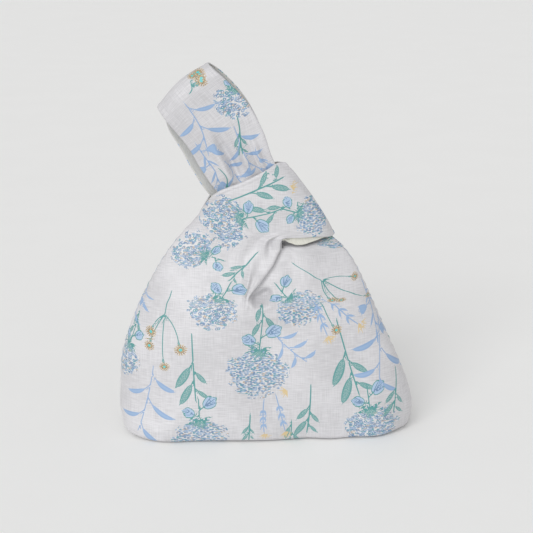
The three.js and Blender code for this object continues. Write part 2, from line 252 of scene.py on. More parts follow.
# Lengthwise folds of the wrist loop where the collar squeezes it; place is across the strap, 0 to 1. The back
# half follows the front half's folds.
WRIST_FOLDS = [
    # place, spread, height, start, peak, end
    (0.41, 0.055, -6.8, 0.44, 0.54, 0.82),
    (0.5, 0.09, -3.4, 0.44, 0.54, 0.82),
    (0.3, 0.065, 3.8, 0.44, 0.54, 0.78),
    (0.62, 0.055, 4.6, 0.44, 0.54, 0.78),
    (0.755, 0.03, -2.0, 0.42, 0.52, 0.72),
    (0.815, 0.03, 1.4, 0.42, 0.52, 0.7),
    (0.88, 0.025, -1.6, 0.42, 0.52, 0.68),
    (0.13, 0.05, -1.2, 0.42, 0.52, 0.68),
]
WRIST_FOLD_SHARES = {FRONT: 1.0, BACK: -0.4}

# How far the collar's lining shows below the neckline edge
COLLAR_LINING_PEEP = table("along reach", [
    (0.07, -1),
    (0.12, 1.5),
    (0.17, 5),
    (0.24, 7),
    (0.49, 7),
    (0.62, 4.8),
    (0.74, 2.2),
    (0.86, -0.5),
    (1, -1),
])
COLLAR_LINING_START = 0.07
LINING_HANG = np.array((0.1, 0.3, -0.95))  # the way in which it hangs there
WRIST_LINING_START = 0.33
LINING_BARE = 1.0  # how far the cloth's edges stand past the lining's
LINING_EDGE_POWER = 12  # the higher, the nearer its edges a lining is moved
RIM_BULGE = 0.4  # share of the thickness by which a sheet's rim bulges

# The turned edges of the handles
EDGE_ROLL_RISE, EDGE_ROLL_WIDTH, EDGE_ROLL_FALL = 0.8, 3.2, 1.6
EDGE_CREASE_PLACE, EDGE_CREASE_WIDTH, EDGE_CREASE_SHARE = 4.4, 0.9, 0.6
EDGE_ONSET = 0.12  # share of a handle in which its edges start from the mouth

# The seams: grooves with puckers beside them; the share is of the side seams' depth
SEAM_WIDTH = 1.6
PUCKER_PLACE = 3.6
PUCKER_LENGTH = 8.5
PUCKER_DRIFT, PUCKER_DRIFT_LENGTH = 1.7, 19.0
COLLAR_SEAM_FADE = 0.06
COLLAR_SEAM_INSET, COLLAR_SEAM_WIDTH, COLLAR_SEAM_SHARE = 4.0, 0.9, 0.6
WRIST_SEAM_WIDTH, WRIST_SEAM_SHARE = 1.2, 0.4

# The cloth's soft unevenness: its wave lengths and how flat they are, the seeds of their chance, and how far
# from the seams and above the base the relief has its full height
WAVE_LENGTHS = (68, 54, 43, 35, 29, 24)
WAVE_FLATNESS = 250
BODY_WAVES, WRIST_WAVES = 3, 11
WRIST_UNEVEN_SHARE = 0.6
BODY_CALM, COLLAR_CALM = 12.0, 10.0
RELIEF_START, RELIEF_RISE = 1.0, 8.0


def smooth(t):
    """0 below 0, 1 above 1, and an even ease between them."""
    t = np.clip(t, 0, 1)
    return t * t * (3 - 2 * t)


def mix(a, b, t):
    return a + (b - a) * t


def unit(vectors):
    """The vectors at length 1; one without a length stays so."""
    return vectors / np.maximum(np.linalg.norm(vectors, axis=-1, keepdims=True), TINY)


def look_up(rows, key, column, at):
    """A table's column at places between its rows, on a smooth curve through them."""
    keys, values = rows[key], rows[column]
    last = len(keys) - 1
    before = np.maximum(np.arange(last + 1) - 1, 0)
    after = np.minimum(np.arange(last + 1) + 1, last)
    slopes = (values[after] - values[before]) / (keys[after] - keys[before])
    at = np.clip(at, keys[0], keys[-1])
    i = np.clip(np.searchsorted(keys, at) - 1, 0, last - 1)
    span = keys[i + 1] - keys[i]
    t = (at - keys[i]) / span
    from_start = (2 * t**3 - 3 * t**2 + 1) * values[i] + (t**3 - 2 * t**2 + t) * span * slopes[i]
    from_end = (3 * t**2 - 2 * t**3) * values[i + 1] + (t**3 - t**2) * span * slopes[i + 1]
    return from_start + from_end


def half_section(left, right, depth, square, places):
    """x, reach and arc length from x = 0 of points at given shares of a half section, from left to right."""
    angle = np.linspace(-math.pi / 2, math.pi / 2, SECTION_SAMPLES + 1)
    sine = np.sin(angle)
    x = (left + right) / 2 + (right - left) / 2 * np.sign(sine) * np.abs(sine) ** square
    reach = depth * np.clip(np.cos(angle), 0, None) ** square
    length = np.concatenate([[0], np.cumsum(np.hypot(np.diff(x), np.diff(reach)))])
    wanted = places * length[-1]
    across = wanted - np.interp(0, x, length)
    return np.interp(wanted, length, x), np.interp(wanted, length, reach), across


def pleat_at(x, z):
    """How far the pleat shifts the cloth to the right and lifts it forward."""
    width = look_up(PLEAT_LINE, "height", "width", z)
    share = look_up(PLEAT_LINE, "height", "rise", z)
    offset = (x - look_up(PLEAT_LINE, "height", "x", z)) / width
    shift = look_up(PLEAT_PROFILE, "offset", "shift", offset) * share * width
    rise = look_up(PLEAT_PROFILE, "offset", "rise", offset) * share
    return shift, rise


def folds_at(x, z, folds):
    """How far soft folds push the cloth forward."""
    push = np.zeros_like(x)
    for from_x, from_z, to_x, to_z, height, left_width, right_width, hold in folds:
        dx, dz = to_x - from_x, to_z - from_z
        length = math.hypot(dx, dz)
        along = ((x - from_x) * dx + (z - from_z) * dz) / length**2
        across = ((x - from_x) * -dz + (z - from_z) * dx) / length
        width = np.where(across < 0, left_width, right_width)
        rising = smooth(1 + along * FOLD_ONSET)
        fading = 1 - smooth((along - hold) / (1 - hold))
        push += height * np.where(along < 0, rising, fading) * np.exp(-((across / width) ** 2))
    return push


def lengths_along(points, axis):
    """Arc length from the first point, along one axis of a grid of points."""
    steps = np.linalg.norm(np.diff(points, axis=axis), axis=-1)
    first = np.zeros_like(np.take(steps, [0], axis=axis))
    return np.concatenate([first, np.cumsum(steps, axis=axis)], axis=axis)


def body_grid(side):
    """The body's points from the bottom seam, along the base, round the bottom edge and up to the mouth."""
    base = np.linspace(0, 1, BASE_ROWS, endpoint=False)
    angle = np.linspace(0, math.pi / 2, ROUND_ROWS, endpoint=False)
    wall = np.linspace(BASE_ROUND, MOUTH_HEIGHT, WALL_ROWS + 1)
    heights = np.concatenate([0 * base, BASE_ROUND * (1 - np.cos(angle)), wall])
    insets = np.concatenate([BASE_ROUND + BASE_TUCK * (1 - base), BASE_ROUND * (1 - np.sin(angle)), 0 * wall])
    shares = np.concatenate([base, 1 + 0 * angle, 1 + 0 * wall])

    rows = []
    for height, inset, share in zip(heights, insets, shares):
        section = (look_up(BODY_SECTIONS, "height", name, height) for name in SECTION_COLUMNS)
        left, right, depth, square = map(float, section)
        depth = max(0.0, (depth - min(inset, BASE_ROUND)) * share)
        rows.append(half_section(left + inset, right - inset, depth, square, COLUMN_SHARES))
    x, reach, across = (np.array(values) for values in zip(*rows))
    z = np.repeat(heights[:, None], BODY_COLUMNS + 1, axis=1)

    from_seam = np.minimum(COLUMN_SHARES, 1 - COLUMN_SHARES)[None, :]
    loose = smooth(from_seam / SEAM_HOLD) * (1.0 if side == FRONT else BACK_FOLD_SHARE)
    on_wall = (shares >= 1)[:, None]
    shift, rise = pleat_at(x, z)
    low = np.exp(-((z / BASE_EDGE_HEIGHT) ** 2)) * shares[:, None]
    push = low * look_up(BASE_EDGE, "x", "push", x)
    outer = smooth((shares - BASE_LIFT_START) / (1 - BASE_LIFT_START))[:, None]
    lift = low * look_up(BASE_EDGE, "x", "lift", x) * outer
    reach = reach + loose * (push + on_wall * (rise + folds_at(x, z, BODY_FOLDS)))
    x = x + loose * on_wall * shift
    z = z + loose * lift
    points = np.stack([x, side * (reach + SEAM_HALF_GAP), z], axis=-1)

    middle = BODY_COLUMNS // 2
    along = lengths_along(points, 0)[:, middle]
    first_wall_row = BASE_ROWS + ROUND_ROWS
    flat_v = np.repeat((along - along[first_wall_row] + BASE_ROUND)[:, None], BODY_COLUMNS + 1, axis=1)
    flat = np.stack([across, flat_v], axis=-1)
    return points, flat


def turn(along, fold_start):
    """Past its fold's start a strap turns round: how far along it lies, and what is left of its depth."""
    angle = np.clip((along - fold_start) / (1 - fold_start), 0, 1) * math.pi / 2
    at = np.where(along <= fold_start, along, mix(fold_start, 1, np.sin(angle)))
    return at, np.cos(angle)


def collar_point(along, across):
    """x, z and reach of the collar; across is 0 at its outer edge and 1 at the neckline."""
    at, left = turn(along, COLLAR_FOLD_START)
    swell = np.sin(math.pi / 2 * across) ** STRAP_SWELL
    outer_depth = np.maximum(0, look_up(COLLAR_OUTER, "along", "depth", at))
    depth = mix(outer_depth, look_up(COLLAR_NECK, "along", "depth", at), swell)
    x, z = (
        mix(look_up(COLLAR_OUTER, "along", axis, at), look_up(COLLAR_NECK, "along", axis, at), across)
        for axis in "xz"
    )
    bow = np.sin(math.pi * across) * smooth((at - COLLAR_BULGE_START) / (1 - COLLAR_BULGE_START))
    return x + COLLAR_BULGE_X * bow, z + COLLAR_BULGE_Z * bow, depth * left


def wrist_point(along, across, side):
    """x, z and reach of the wrist loop's half; across is 0 at its left edge."""
    slip_share = 1.0 if side == BACK else 0.0
    at, left = turn(along, WRIST_FOLD_START)
    left_x, left_z = (look_up(WRIST_LEFT, "along", axis, at) for axis in "xz")
    right_x, right_z = (look_up(WRIST_RIGHT, "along", axis, at) for axis in "xz")
    crown, left_rim, right_rim, slip_left, slip_right = (
        look_up(WRIST_DEPTH, "along", name, at)
        for name in ("crown", "left_rim", "right_rim", "slip_left", "slip_right")
    )
    width = np.hypot(right_x - left_x, right_z - left_z)
    place = mix(-slip_left * slip_share / width, 1 - slip_right * slip_share / width, across)
    middle = np.clip(np.sin(math.pi * across), 0, None)
    reach = mix(mix(left_rim, right_rim, across), crown, middle**STRAP_SWELL)
    for fold_place, spread, height, start, peak, end in WRIST_FOLDS:
        rise = smooth((at - start) / (peak - start)) * (1 - smooth((at - peak) / (end - peak)))
        push = height * WRIST_FOLD_SHARES[side] * rise
        reach = reach + push * np.exp(-(((across - fold_place) / spread) ** 2))
    bow = middle * smooth((at - WRIST_BULGE_START) / (1 - WRIST_BULGE_START))
    x = mix(left_x, right_x, place) + WRIST_BULGE_X * bow
    z = mix(left_z, right_z, place) + WRIST_BULGE_Z * bow
    return x, z, reach * left


def strap_grid(root, shares, side, alongs, ease_end, point_at):
    """A strap's rows from the mouth up: they start with the mouth's own points and ease into the strap."""
    across = ((shares - shares[0]) / (shares[-1] - shares[0]))[None, :, None]
    ease = smooth(alongs / ease_end)[:, None, None]
    strap = np.stack(np.broadcast_arrays(*point_at(alongs[:, None], across[..., 0])), axis=-1)
    start = np.stack([root[:, 0], root[:, 2], np.abs(root[:, 1]) - SEAM_HALF_GAP], axis=-1)
    moved = strap - start - (1 - ease) * (strap[:1] - start)
    ends_moved = mix(moved[:, :1], moved[:, -1:], across)
    x, z, reach = np.moveaxis(mix(start + ends_moved, strap, ease), -1, 0)
    return np.stack([x, side * (np.maximum(0, reach) + SEAM_HALF_GAP), z], axis=-1)


def ease_mouth(body, strap, columns, loose):
    """Evens out the cloth round the mouth in place, between the body's columns and a strap."""
    rows = MOUTH_EASE_ROWS
    cloth = np.concatenate([body[-rows:, columns], strap[1:rows]])
    x, z = cloth[..., 0], cloth[..., 2]
    near = np.exp(-(((z - MOUTH_HEIGHT) / MOUTH_EASE) ** 2)) * np.interp(x, loose["x"], loose["share"])
    for _ in range(MOUTH_EASE_ROUNDS):
        cloth[1:-1] = mix(cloth[1:-1], (cloth[:-2] + cloth[2:]) / 2, near[1:-1, :, None])
    body[-rows:, columns] = cloth[:rows]
    strap[:rows] = cloth[rows - 1:]


def collar_grids(side, body, body_flat):
    """One half of the collar, its flat places and its rows' places along it; eases the mouth there."""
    columns = slice(0, COLLAR_LAST_COLUMN + 1)
    alongs = np.linspace(0, 1, COLLAR_ROWS + 1)
    mouth_flat = body_flat[-1]
    collar = strap_grid(body[-1, columns], COLUMN_SHARES[columns], side, alongs, COLLAR_EASE, collar_point)
    ease_mouth(body, collar, columns, COLLAR_LOOSE)
    upright = smooth(alongs / COLLAR_FLAT_EASE)[:, None]
    flat = np.stack([
        mix(mouth_flat[None, columns, 0], collar[..., 0], upright),
        mouth_flat[0, 1] + collar[..., 2] - MOUTH_HEIGHT,
    ], axis=-1)
    return collar, flat, alongs


def wrist_grids(side, body):
    """One half of the wrist loop, its flat places and its rows' places along it; eases the mouth there."""
    columns = slice(WRIST_FIRST_COLUMN, BODY_COLUMNS + 1)
    alongs = np.linspace(0, 1, WRIST_ROWS + 1)
    wrist = strap_grid(
        body[-1, columns], COLUMN_SHARES[columns], side, alongs, WRIST_EASE,
        lambda along, across: wrist_point(along, across, side),
    )
    ease_mouth(body, wrist, columns, WRIST_LOOSE)
    if side == FRONT:
        for cloth in (body[:, columns], wrist):
            cloth[..., 1] -= folds_at(cloth[..., 0], cloth[..., 2], NECK_GROOVE)
    across = lengths_along(wrist, 1)
    middle = lengths_along(wrist, 0)[:, wrist.shape[1] // 2]
    flat = np.stack([
        across - across[:, -1:] / 2 + WRIST_FLAT_PLACE,
        np.repeat(middle[:, None], wrist.shape[1], axis=1),
    ], axis=-1)
    return wrist, flat, alongs


def waves(flat, seed):
    """A soft unevenness of the cloth, about 1 high in all, the same each run."""
    chance = np.random.default_rng(seed)
    height = np.zeros(flat.shape[:-1])
    for wave_length in WAVE_LENGTHS:
        heading = chance.uniform(0, math.pi)
        phase = chance.uniform(0, 2 * math.pi)
        line = flat[..., 0] * math.cos(heading) + flat[..., 1] * math.sin(heading)
        height += wave_length / WAVE_FLATNESS * np.sin(2 * math.pi * line / wave_length + phase)
    return height


def ring(distance, place, width):
    """A soft bump of height 1 at a distance from an edge."""
    return np.exp(-(((distance - place) / width) ** 2))


def edge_relief(distance, sizes):
    """The turned edge: a soft roll over the seam allowance, with a crease where it ends."""
    roll = smooth(distance / EDGE_ROLL_RISE) * (1 - smooth((distance - EDGE_ROLL_WIDTH) / EDGE_ROLL_FALL))
    crease = EDGE_CREASE_SHARE * ring(distance, EDGE_CREASE_PLACE, EDGE_CREASE_WIDTH)
    return sizes.edge_roll / MM * (roll - crease)


def seam_relief(distance, along, sizes):
    """A sewn seam: a groove, with small puckers beside it."""
    drift = PUCKER_DRIFT * np.sin(along / PUCKER_DRIFT_LENGTH)
    puckers = np.sin(2 * math.pi * along / PUCKER_LENGTH + drift)
    beside = ring(distance, PUCKER_PLACE, PUCKER_PLACE)
    return -sizes.seam_groove / MM * ring(distance, 0, SEAM_WIDTH) + sizes.pucker / MM * puckers * beside


def body_relief(side, body, flat, sizes):
    """The body's unevenness, and its side seams with their puckers, all lost towards the base."""
    across = lengths_along(body, 1)
    from_seam = np.minimum(across, across[:, -1:] - across)
    relief = sizes.unevenness / MM * waves(flat, BODY_WAVES + side) * smooth(from_seam / BODY_CALM)
    relief += seam_relief(from_seam, flat[..., 1], sizes)
    relief *= smooth((body[..., 2] - RELIEF_START) / RELIEF_RISE)
    relief[-1] = relief[-2]
    return relief


def collar_relief(side, collar, flat, alongs, sizes):
    """The relief of the collar's cloth, then that of its turned edges and of the seam near its end."""
    across = lengths_along(collar, 1)
    from_mouth = lengths_along(collar, 0)
    from_end = from_mouth[-1:] - from_mouth
    sewn = (1 - smooth((alongs - COLLAR_SEAM_END) / COLLAR_SEAM_FADE))[:, None]
    relief = sewn * seam_relief(across, flat[..., 1], sizes)
    relief += sizes.unevenness / MM * waves(flat, BODY_WAVES + side) * smooth(across / COLLAR_CALM)
    outer_edge = edge_relief(across, sizes) * (1 - sewn)
    neck_edge = edge_relief(across[:, -1:] - across, sizes) * smooth(alongs / EDGE_ONSET)[:, None]
    end_seam = COLLAR_SEAM_SHARE * ring(from_end, COLLAR_SEAM_INSET, COLLAR_SEAM_WIDTH)
    return relief, outer_edge + neck_edge - sizes.seam_groove / MM * end_seam


def wrist_relief(side, wrist, flat, alongs, sizes):
    """The relief of the wrist loop's cloth, then that of its turned edges and of the seam at its end."""
    across = lengths_along(wrist, 1)
    from_mouth = lengths_along(wrist, 0)
    from_end = from_mouth[-1:] - from_mouth
    relief = WRIST_UNEVEN_SHARE * sizes.unevenness / MM * waves(flat, WRIST_WAVES + side)
    edges = edge_relief(across, sizes) + edge_relief(across[:, -1:] - across, sizes)
    end_seam = WRIST_SEAM_SHARE * ring(from_end, 0, WRIST_SEAM_WIDTH)
    return relief, edges * smooth(alongs / EDGE_ONSET)[:, None] - sizes.seam_groove / MM * end_seam


def join_grids(body, collar, wrist, *shape):
    """One list of the three grids' values; a handle's first row is the mouth's own and is left out."""
    return np.concatenate([grid.reshape(-1, *shape) for grid in (body, collar[1:], wrist[1:])])


def panel_surface(side, sizes):
    """One outer panel with its halves of both handles: points, normals, faces, seams and flat places."""
    body, body_flat = body_grid(side)
    collar, collar_flat, collar_alongs = collar_grids(side, body, body_flat)
    wrist, wrist_flat, wrist_alongs = wrist_grids(side, body)
    of_body = body_relief(side, body, body_flat, sizes)
    of_collar, collar_edge = collar_relief(side, collar, collar_flat, collar_alongs, sizes)
    of_wrist, wrist_edge = wrist_relief(side, wrist, wrist_flat, wrist_alongs, sizes)
    points = join_grids(body, collar, wrist, 3)
    flat = join_grids(body_flat, collar_flat, wrist_flat, 2)
    relief = join_grids(of_body, of_collar, of_wrist)
    edge = join_grids(0 * of_body, collar_edge, wrist_edge)

    body_numbers = np.arange(of_body.size).reshape(of_body.shape)
    collar_new = np.arange(of_collar[1:].size).reshape(COLLAR_ROWS, -1) + body_numbers.size
    wrist_new = np.arange(of_wrist[1:].size).reshape(WRIST_ROWS, -1) + body_numbers.size + collar_new.size
    collar_numbers = np.concatenate([body_numbers[-1:, : COLLAR_LAST_COLUMN + 1], collar_new])
    wrist_numbers = np.concatenate([body_numbers[-1:, WRIST_FIRST_COLUMN:], wrist_new])
    faces = np.concatenate([grid_faces(grid) for grid in (body_numbers, collar_numbers, wrist_numbers)])
    if side == BACK:
        faces = faces[:, ::-1]

    is_seam = np.zeros(len(points), bool)
    for numbers in (
        body_numbers[0], body_numbers[:, 0], body_numbers[:, -1], collar_numbers[-1], wrist_numbers[-1],
        collar_numbers[collar_alongs <= COLLAR_SEAM_END, 0],
    ):
        is_seam[numbers] = True
    plain = points + relief[:, None] * normals_of(points, faces, is_seam)
    plain_normals = normals_of(plain, faces, is_seam)
    points = plain + edge[:, None] * plain_normals
    return {
        "points": points,
        "normals": normals_of(points, faces, is_seam),
        "plain": (plain, plain_normals),
        "faces": faces,
        "is_seam": is_seam,
        "flat": flat,
        "collar": (collar_numbers, collar_alongs),
        "wrist": (wrist_numbers, wrist_alongs),
    }


def grid_faces(numbers):
    """The faces between neighbouring rows and columns of a grid of point numbers."""
    corners = (numbers[:-1, :-1], numbers[:-1, 1:], numbers[1:, 1:], numbers[1:, :-1])
    return np.stack(corners, axis=-1).reshape(-1, 4)


def normals_of(points, faces, is_seam):
    """The surface's normals at its points; at a seam they lie in the plane between the front and the back."""
    a, b, c, d = (points[faces[:, k]] for k in range(4))
    face_normals = np.cross(c - a, d - b)
    normals = np.zeros_like(points)
    for k in range(4):
        np.add.at(normals, faces[:, k], face_normals)
    normals[is_seam, 1] = 0
    return unit(normals)


def wrist_reach(side, alongs, outward):
    """How the wrist lining's last edge is moved: it stays short of the cloth's."""
    return -LINING_BARE * outward


def collar_reach(side, alongs, outward):
    """How the collar lining's last edge is moved: at the front it hangs out below the neckline."""
    shown = look_up(COLLAR_LINING_PEEP, "along", "reach", alongs)[:, None]
    hanging = np.where(shown > 0, shown * LINING_HANG, shown * outward)
    return hanging if side == FRONT else wrist_reach(side, alongs, outward)


def lining_surface(panels, handle, start, cloth, reach_at):
    """A lining strip inside a handle loop, from its front half over the fold to its back half."""
    halves = []
    for side in (FRONT, BACK):
        panel = panels[side]
        numbers, alongs = panel[handle]
        kept = alongs >= start
        numbers, alongs = numbers[kept], alongs[kept]
        plain, normals = panel["plain"]
        rows = plain[numbers] - cloth * normals[numbers]
        moved_in = LINING_BARE * unit(rows[:, 1] - rows[:, 0])
        moved_out = reach_at(side, alongs, unit(rows[:, -1] - rows[:, -2]))
        shares = np.linspace(0, 1, rows.shape[1])[None, :, None]
        rows = rows + shares**LINING_EDGE_POWER * moved_out[:, None]
        halves.append(rows + (1 - shares) ** LINING_EDGE_POWER * moved_in[:, None])
    front, back = halves
    front[-1, :, 1] = 0
    strip = np.concatenate([front, back[-2::-1]])
    numbers = np.arange(strip[..., 0].size).reshape(strip.shape[:2])
    points = strip.reshape(-1, 3)
    faces = grid_faces(numbers)
    is_seam = np.zeros(len(points), bool)
    across = lengths_along(strip, 1)
    along = lengths_along(strip, 0)
    return {
        "points": points,
        "normals": normals_of(points, faces, is_seam),
        "faces": faces,
        "is_seam": is_seam,
        "flat": np.stack([across, along], axis=-1).reshape(-1, 2),
    }


def sheet_mesh(name, surface, thickness):
    """A closed sheet in metres: the surface, its inner face, and a rounded rim along its free edges."""
    points, normals, faces = surface["points"], surface["normals"], surface["faces"]
    count = len(points)
    edges = np.concatenate([np.stack([faces[:, k], faces[:, (k + 1) % 4]], axis=1) for k in range(4)])
    key = np.sort(edges, axis=1) @ np.array([count, 1])
    _, place, times = np.unique(key, return_index=True, return_counts=True)
    rim = edges[place[times == 1]]

    outward = np.zeros_like(points)
    sideways = np.cross(points[rim[:, 1]] - points[rim[:, 0]], normals[rim[:, 0]])
    for k in (0, 1):
        np.add.at(outward, rim[:, k], sideways)
    outward = unit(outward)
    outward[surface["is_seam"]] = 0

    on_rim = np.unique(rim)
    middle_number = np.zeros(count, int)
    middle_number[on_rim] = 2 * count + np.arange(len(on_rim))
    inner = points - thickness * normals
    bulge = points - thickness / 2 * normals + RIM_BULGE * thickness * outward
    start, end = rim[:, 0], rim[:, 1]
    middle_start, middle_end = middle_number[start], middle_number[end]
    outer_rim = np.stack([end, start, middle_start, middle_end], axis=1)
    inner_rim = np.stack([middle_end, middle_start, start + count, end + count], axis=1)
    all_faces = np.concatenate([faces, faces[:, ::-1] + count, outer_rim, inner_rim])
    all_points = np.concatenate([points, inner, bulge[on_rim]]) * MM
    source = np.concatenate([np.arange(count), np.arange(count), on_rim])

    mesh = bpy.data.meshes.new(name)
    mesh.from_pydata(all_points.tolist(), [], all_faces.tolist())
    mesh.polygons.foreach_set("use_smooth", np.ones(len(all_faces), bool))
    is_inner = np.zeros(len(all_faces), np.int32)
    is_inner[len(faces): 2 * len(faces)] = 1
    mesh.polygons.foreach_set("material_index", is_inner)
    corner_points = np.zeros(len(mesh.loops), np.int32)
    mesh.loops.foreach_get("vertex_index", corner_points)
    uv = surface["flat"][source] / UV_SPAN
    mesh.uv_layers.new(name="Cloth").data.foreach_set("uv", uv[corner_points].astype(np.float32).ravel())
    mesh.update()
    return mesh, source


# The woven figures

# Families of figures, in the groups of three that share their attributes
FAMILY_GROUPS = {"figure": ("leaf", "stem", "sickle"), "second": ("thread", "bud", "gold")}
FAMILIES = [family for group in FAMILY_GROUPS.values() for family in group]
FIGURE_SEED = 5
CHANCE_SHARE = 0.15  # how far a length may depart from its given value
FAR = 30.0  # stands for no figure near
RATIO_LIMIT = 6.0
RATIO_WEIGHT = 0.01  # of two blades that overlap, the one whose middle is nearer shows
BLADE_MARGIN = 6.0
THINNEST = 0.12
STRAIGHT = 1e-3  # a smaller bend is drawn as a straight line
BLOOM_FLATNESS, BLOOM_TOP_FLATNESS = 1.1, 1.3  # a head is broader than it is long, more so on its stem's side
DAISY_FLATNESS = 1.25

# Side shoots: where one starts as a share of the stem, its turn in radians, its length as a share of the size
HEAD_BUDS = ((0.18, 1.15, 0.55), (0.42, -1.05, 0.66))
BLOOM_LEAVES = ((0.2, 2.5, 0.8), (0.45, -2.4, 0.72), (0.85, 2.6, 0.7))
LEAFY_LEAVES = ((0.4, -0.5, 0.44), (0.52, 0.55, 0.3), (0.66, -0.45, 0.42), (0.8, 0.7, 0.26))
SICKLE_BLADES = (
    (0.1, 0.5, 0.5), (0.28, -0.55, 0.48), (0.46, 0.6, 0.52), (0.66, -0.5, 0.46), (0.86, 0.5, 0.4),
)
SPRIG_LEAF = 0.17
SPRIG_LEAVES = [(share, turned, SPRIG_LEAF) for share in (0.3, 0.5, 0.7) for turned in (0.7, -0.7)]
BELL_FLOWERS = ((0.2, 0.9, 0.12), (0.55, -0.9, 0.12), (0.9, 0.6, 0.12))
BELL_LEAVES = ((0.35, -0.4), (0.45, 0.45), (0.75, -0.45), (1.0, 0.0))  # all of about one length

# Parts that spread from one point: their turns, for some with a length as a share of the size and a bend
CALYX_TURNS = (-0.8, -0.3, 0.3, 0.8)
BRACT_TURNS = (-1.9, -1.3, 1.3, 1.9)
BRACT_OPENING = 0.3
BUD_LOBES = ((-0.42, 0.72), (0, 0.86), (0.42, 0.72))
DAISY_BRANCHES = ((-1.0, 0.24, 0.6), (0.0, 0.62, 0.2), (1.0, 0.4, -0.7), (-0.55, 0.4, 0.3))
TUFT_TURNS = (-0.9, -0.45, 0, 0.45, 0.9)
BELL_PETALS = (-0.42, -0.14, 0.14, 0.42)

# Other shares of a figure's size
HEAD_TOP = 0.72
HEAD_STEM = 0.9
CALYX_LENGTH, CALYX_HALF = 0.34, 0.035
BRACT_LENGTH = 0.5
LEAF_STALK, LEAF_RIB, LEAF_HALF = 0.2, 0.28, 0.125
BUD_STALK, BUD_FOOT, BUD_HALF = 0.4, 0.35, 0.17
SICKLE_THREAD, SICKLE_FOOT, SICKLE_HALF_GROWTH = 0.35, 0.25, 0.028
DAISY_STEM = 0.5

# Measures that do not grow with the size: lengths and half widths in millimetres, the curve in radians
BELL_LEAF_LENGTH = 12.0
BELL_LENGTH, BELL_HALF = 9.0, 1.5
SICKLE_HALF, SICKLE_CURVE = 0.5, 1.1
DAISY_CUP, DAISY_OFFSET, DAISY_SIZE = 4.0, 7.0, 6.2


def arc_end(at, heading, length, bend, share=1.0):
    """The place and heading at a share of an arc that turns by bend over its length."""
    turned = bend * share
    if abs(bend) < STRAIGHT:
        along, across = length * share, 0.0
    else:
        radius = length / bend
        along, across = radius * math.sin(turned), radius * (1 - math.cos(turned))
    cosine, sine = math.cos(heading), math.sin(heading)
    place = (at[0] + along * cosine - across * sine, at[1] + along * sine + across * cosine)
    return place, heading + turned


def shoots(at, heading, length, bend, rows):
    """For each side shoot of a stem: its foot, the stem's heading there, its turn and its length share."""
    for share, turned, reach in rows:
        foot, along = arc_end(at, heading, length, bend, share)
        yield foot, along, turned, reach


def seen_from(flat, at, heading):
    """How far points of the cloth lie from a place, along a heading and across it."""
    du, dv = flat[:, 0] - at[0], flat[:, 1] - at[1]
    cosine, sine = math.cos(heading), math.sin(heading)
    return du * cosine + dv * sine, dv * cosine - du * sine


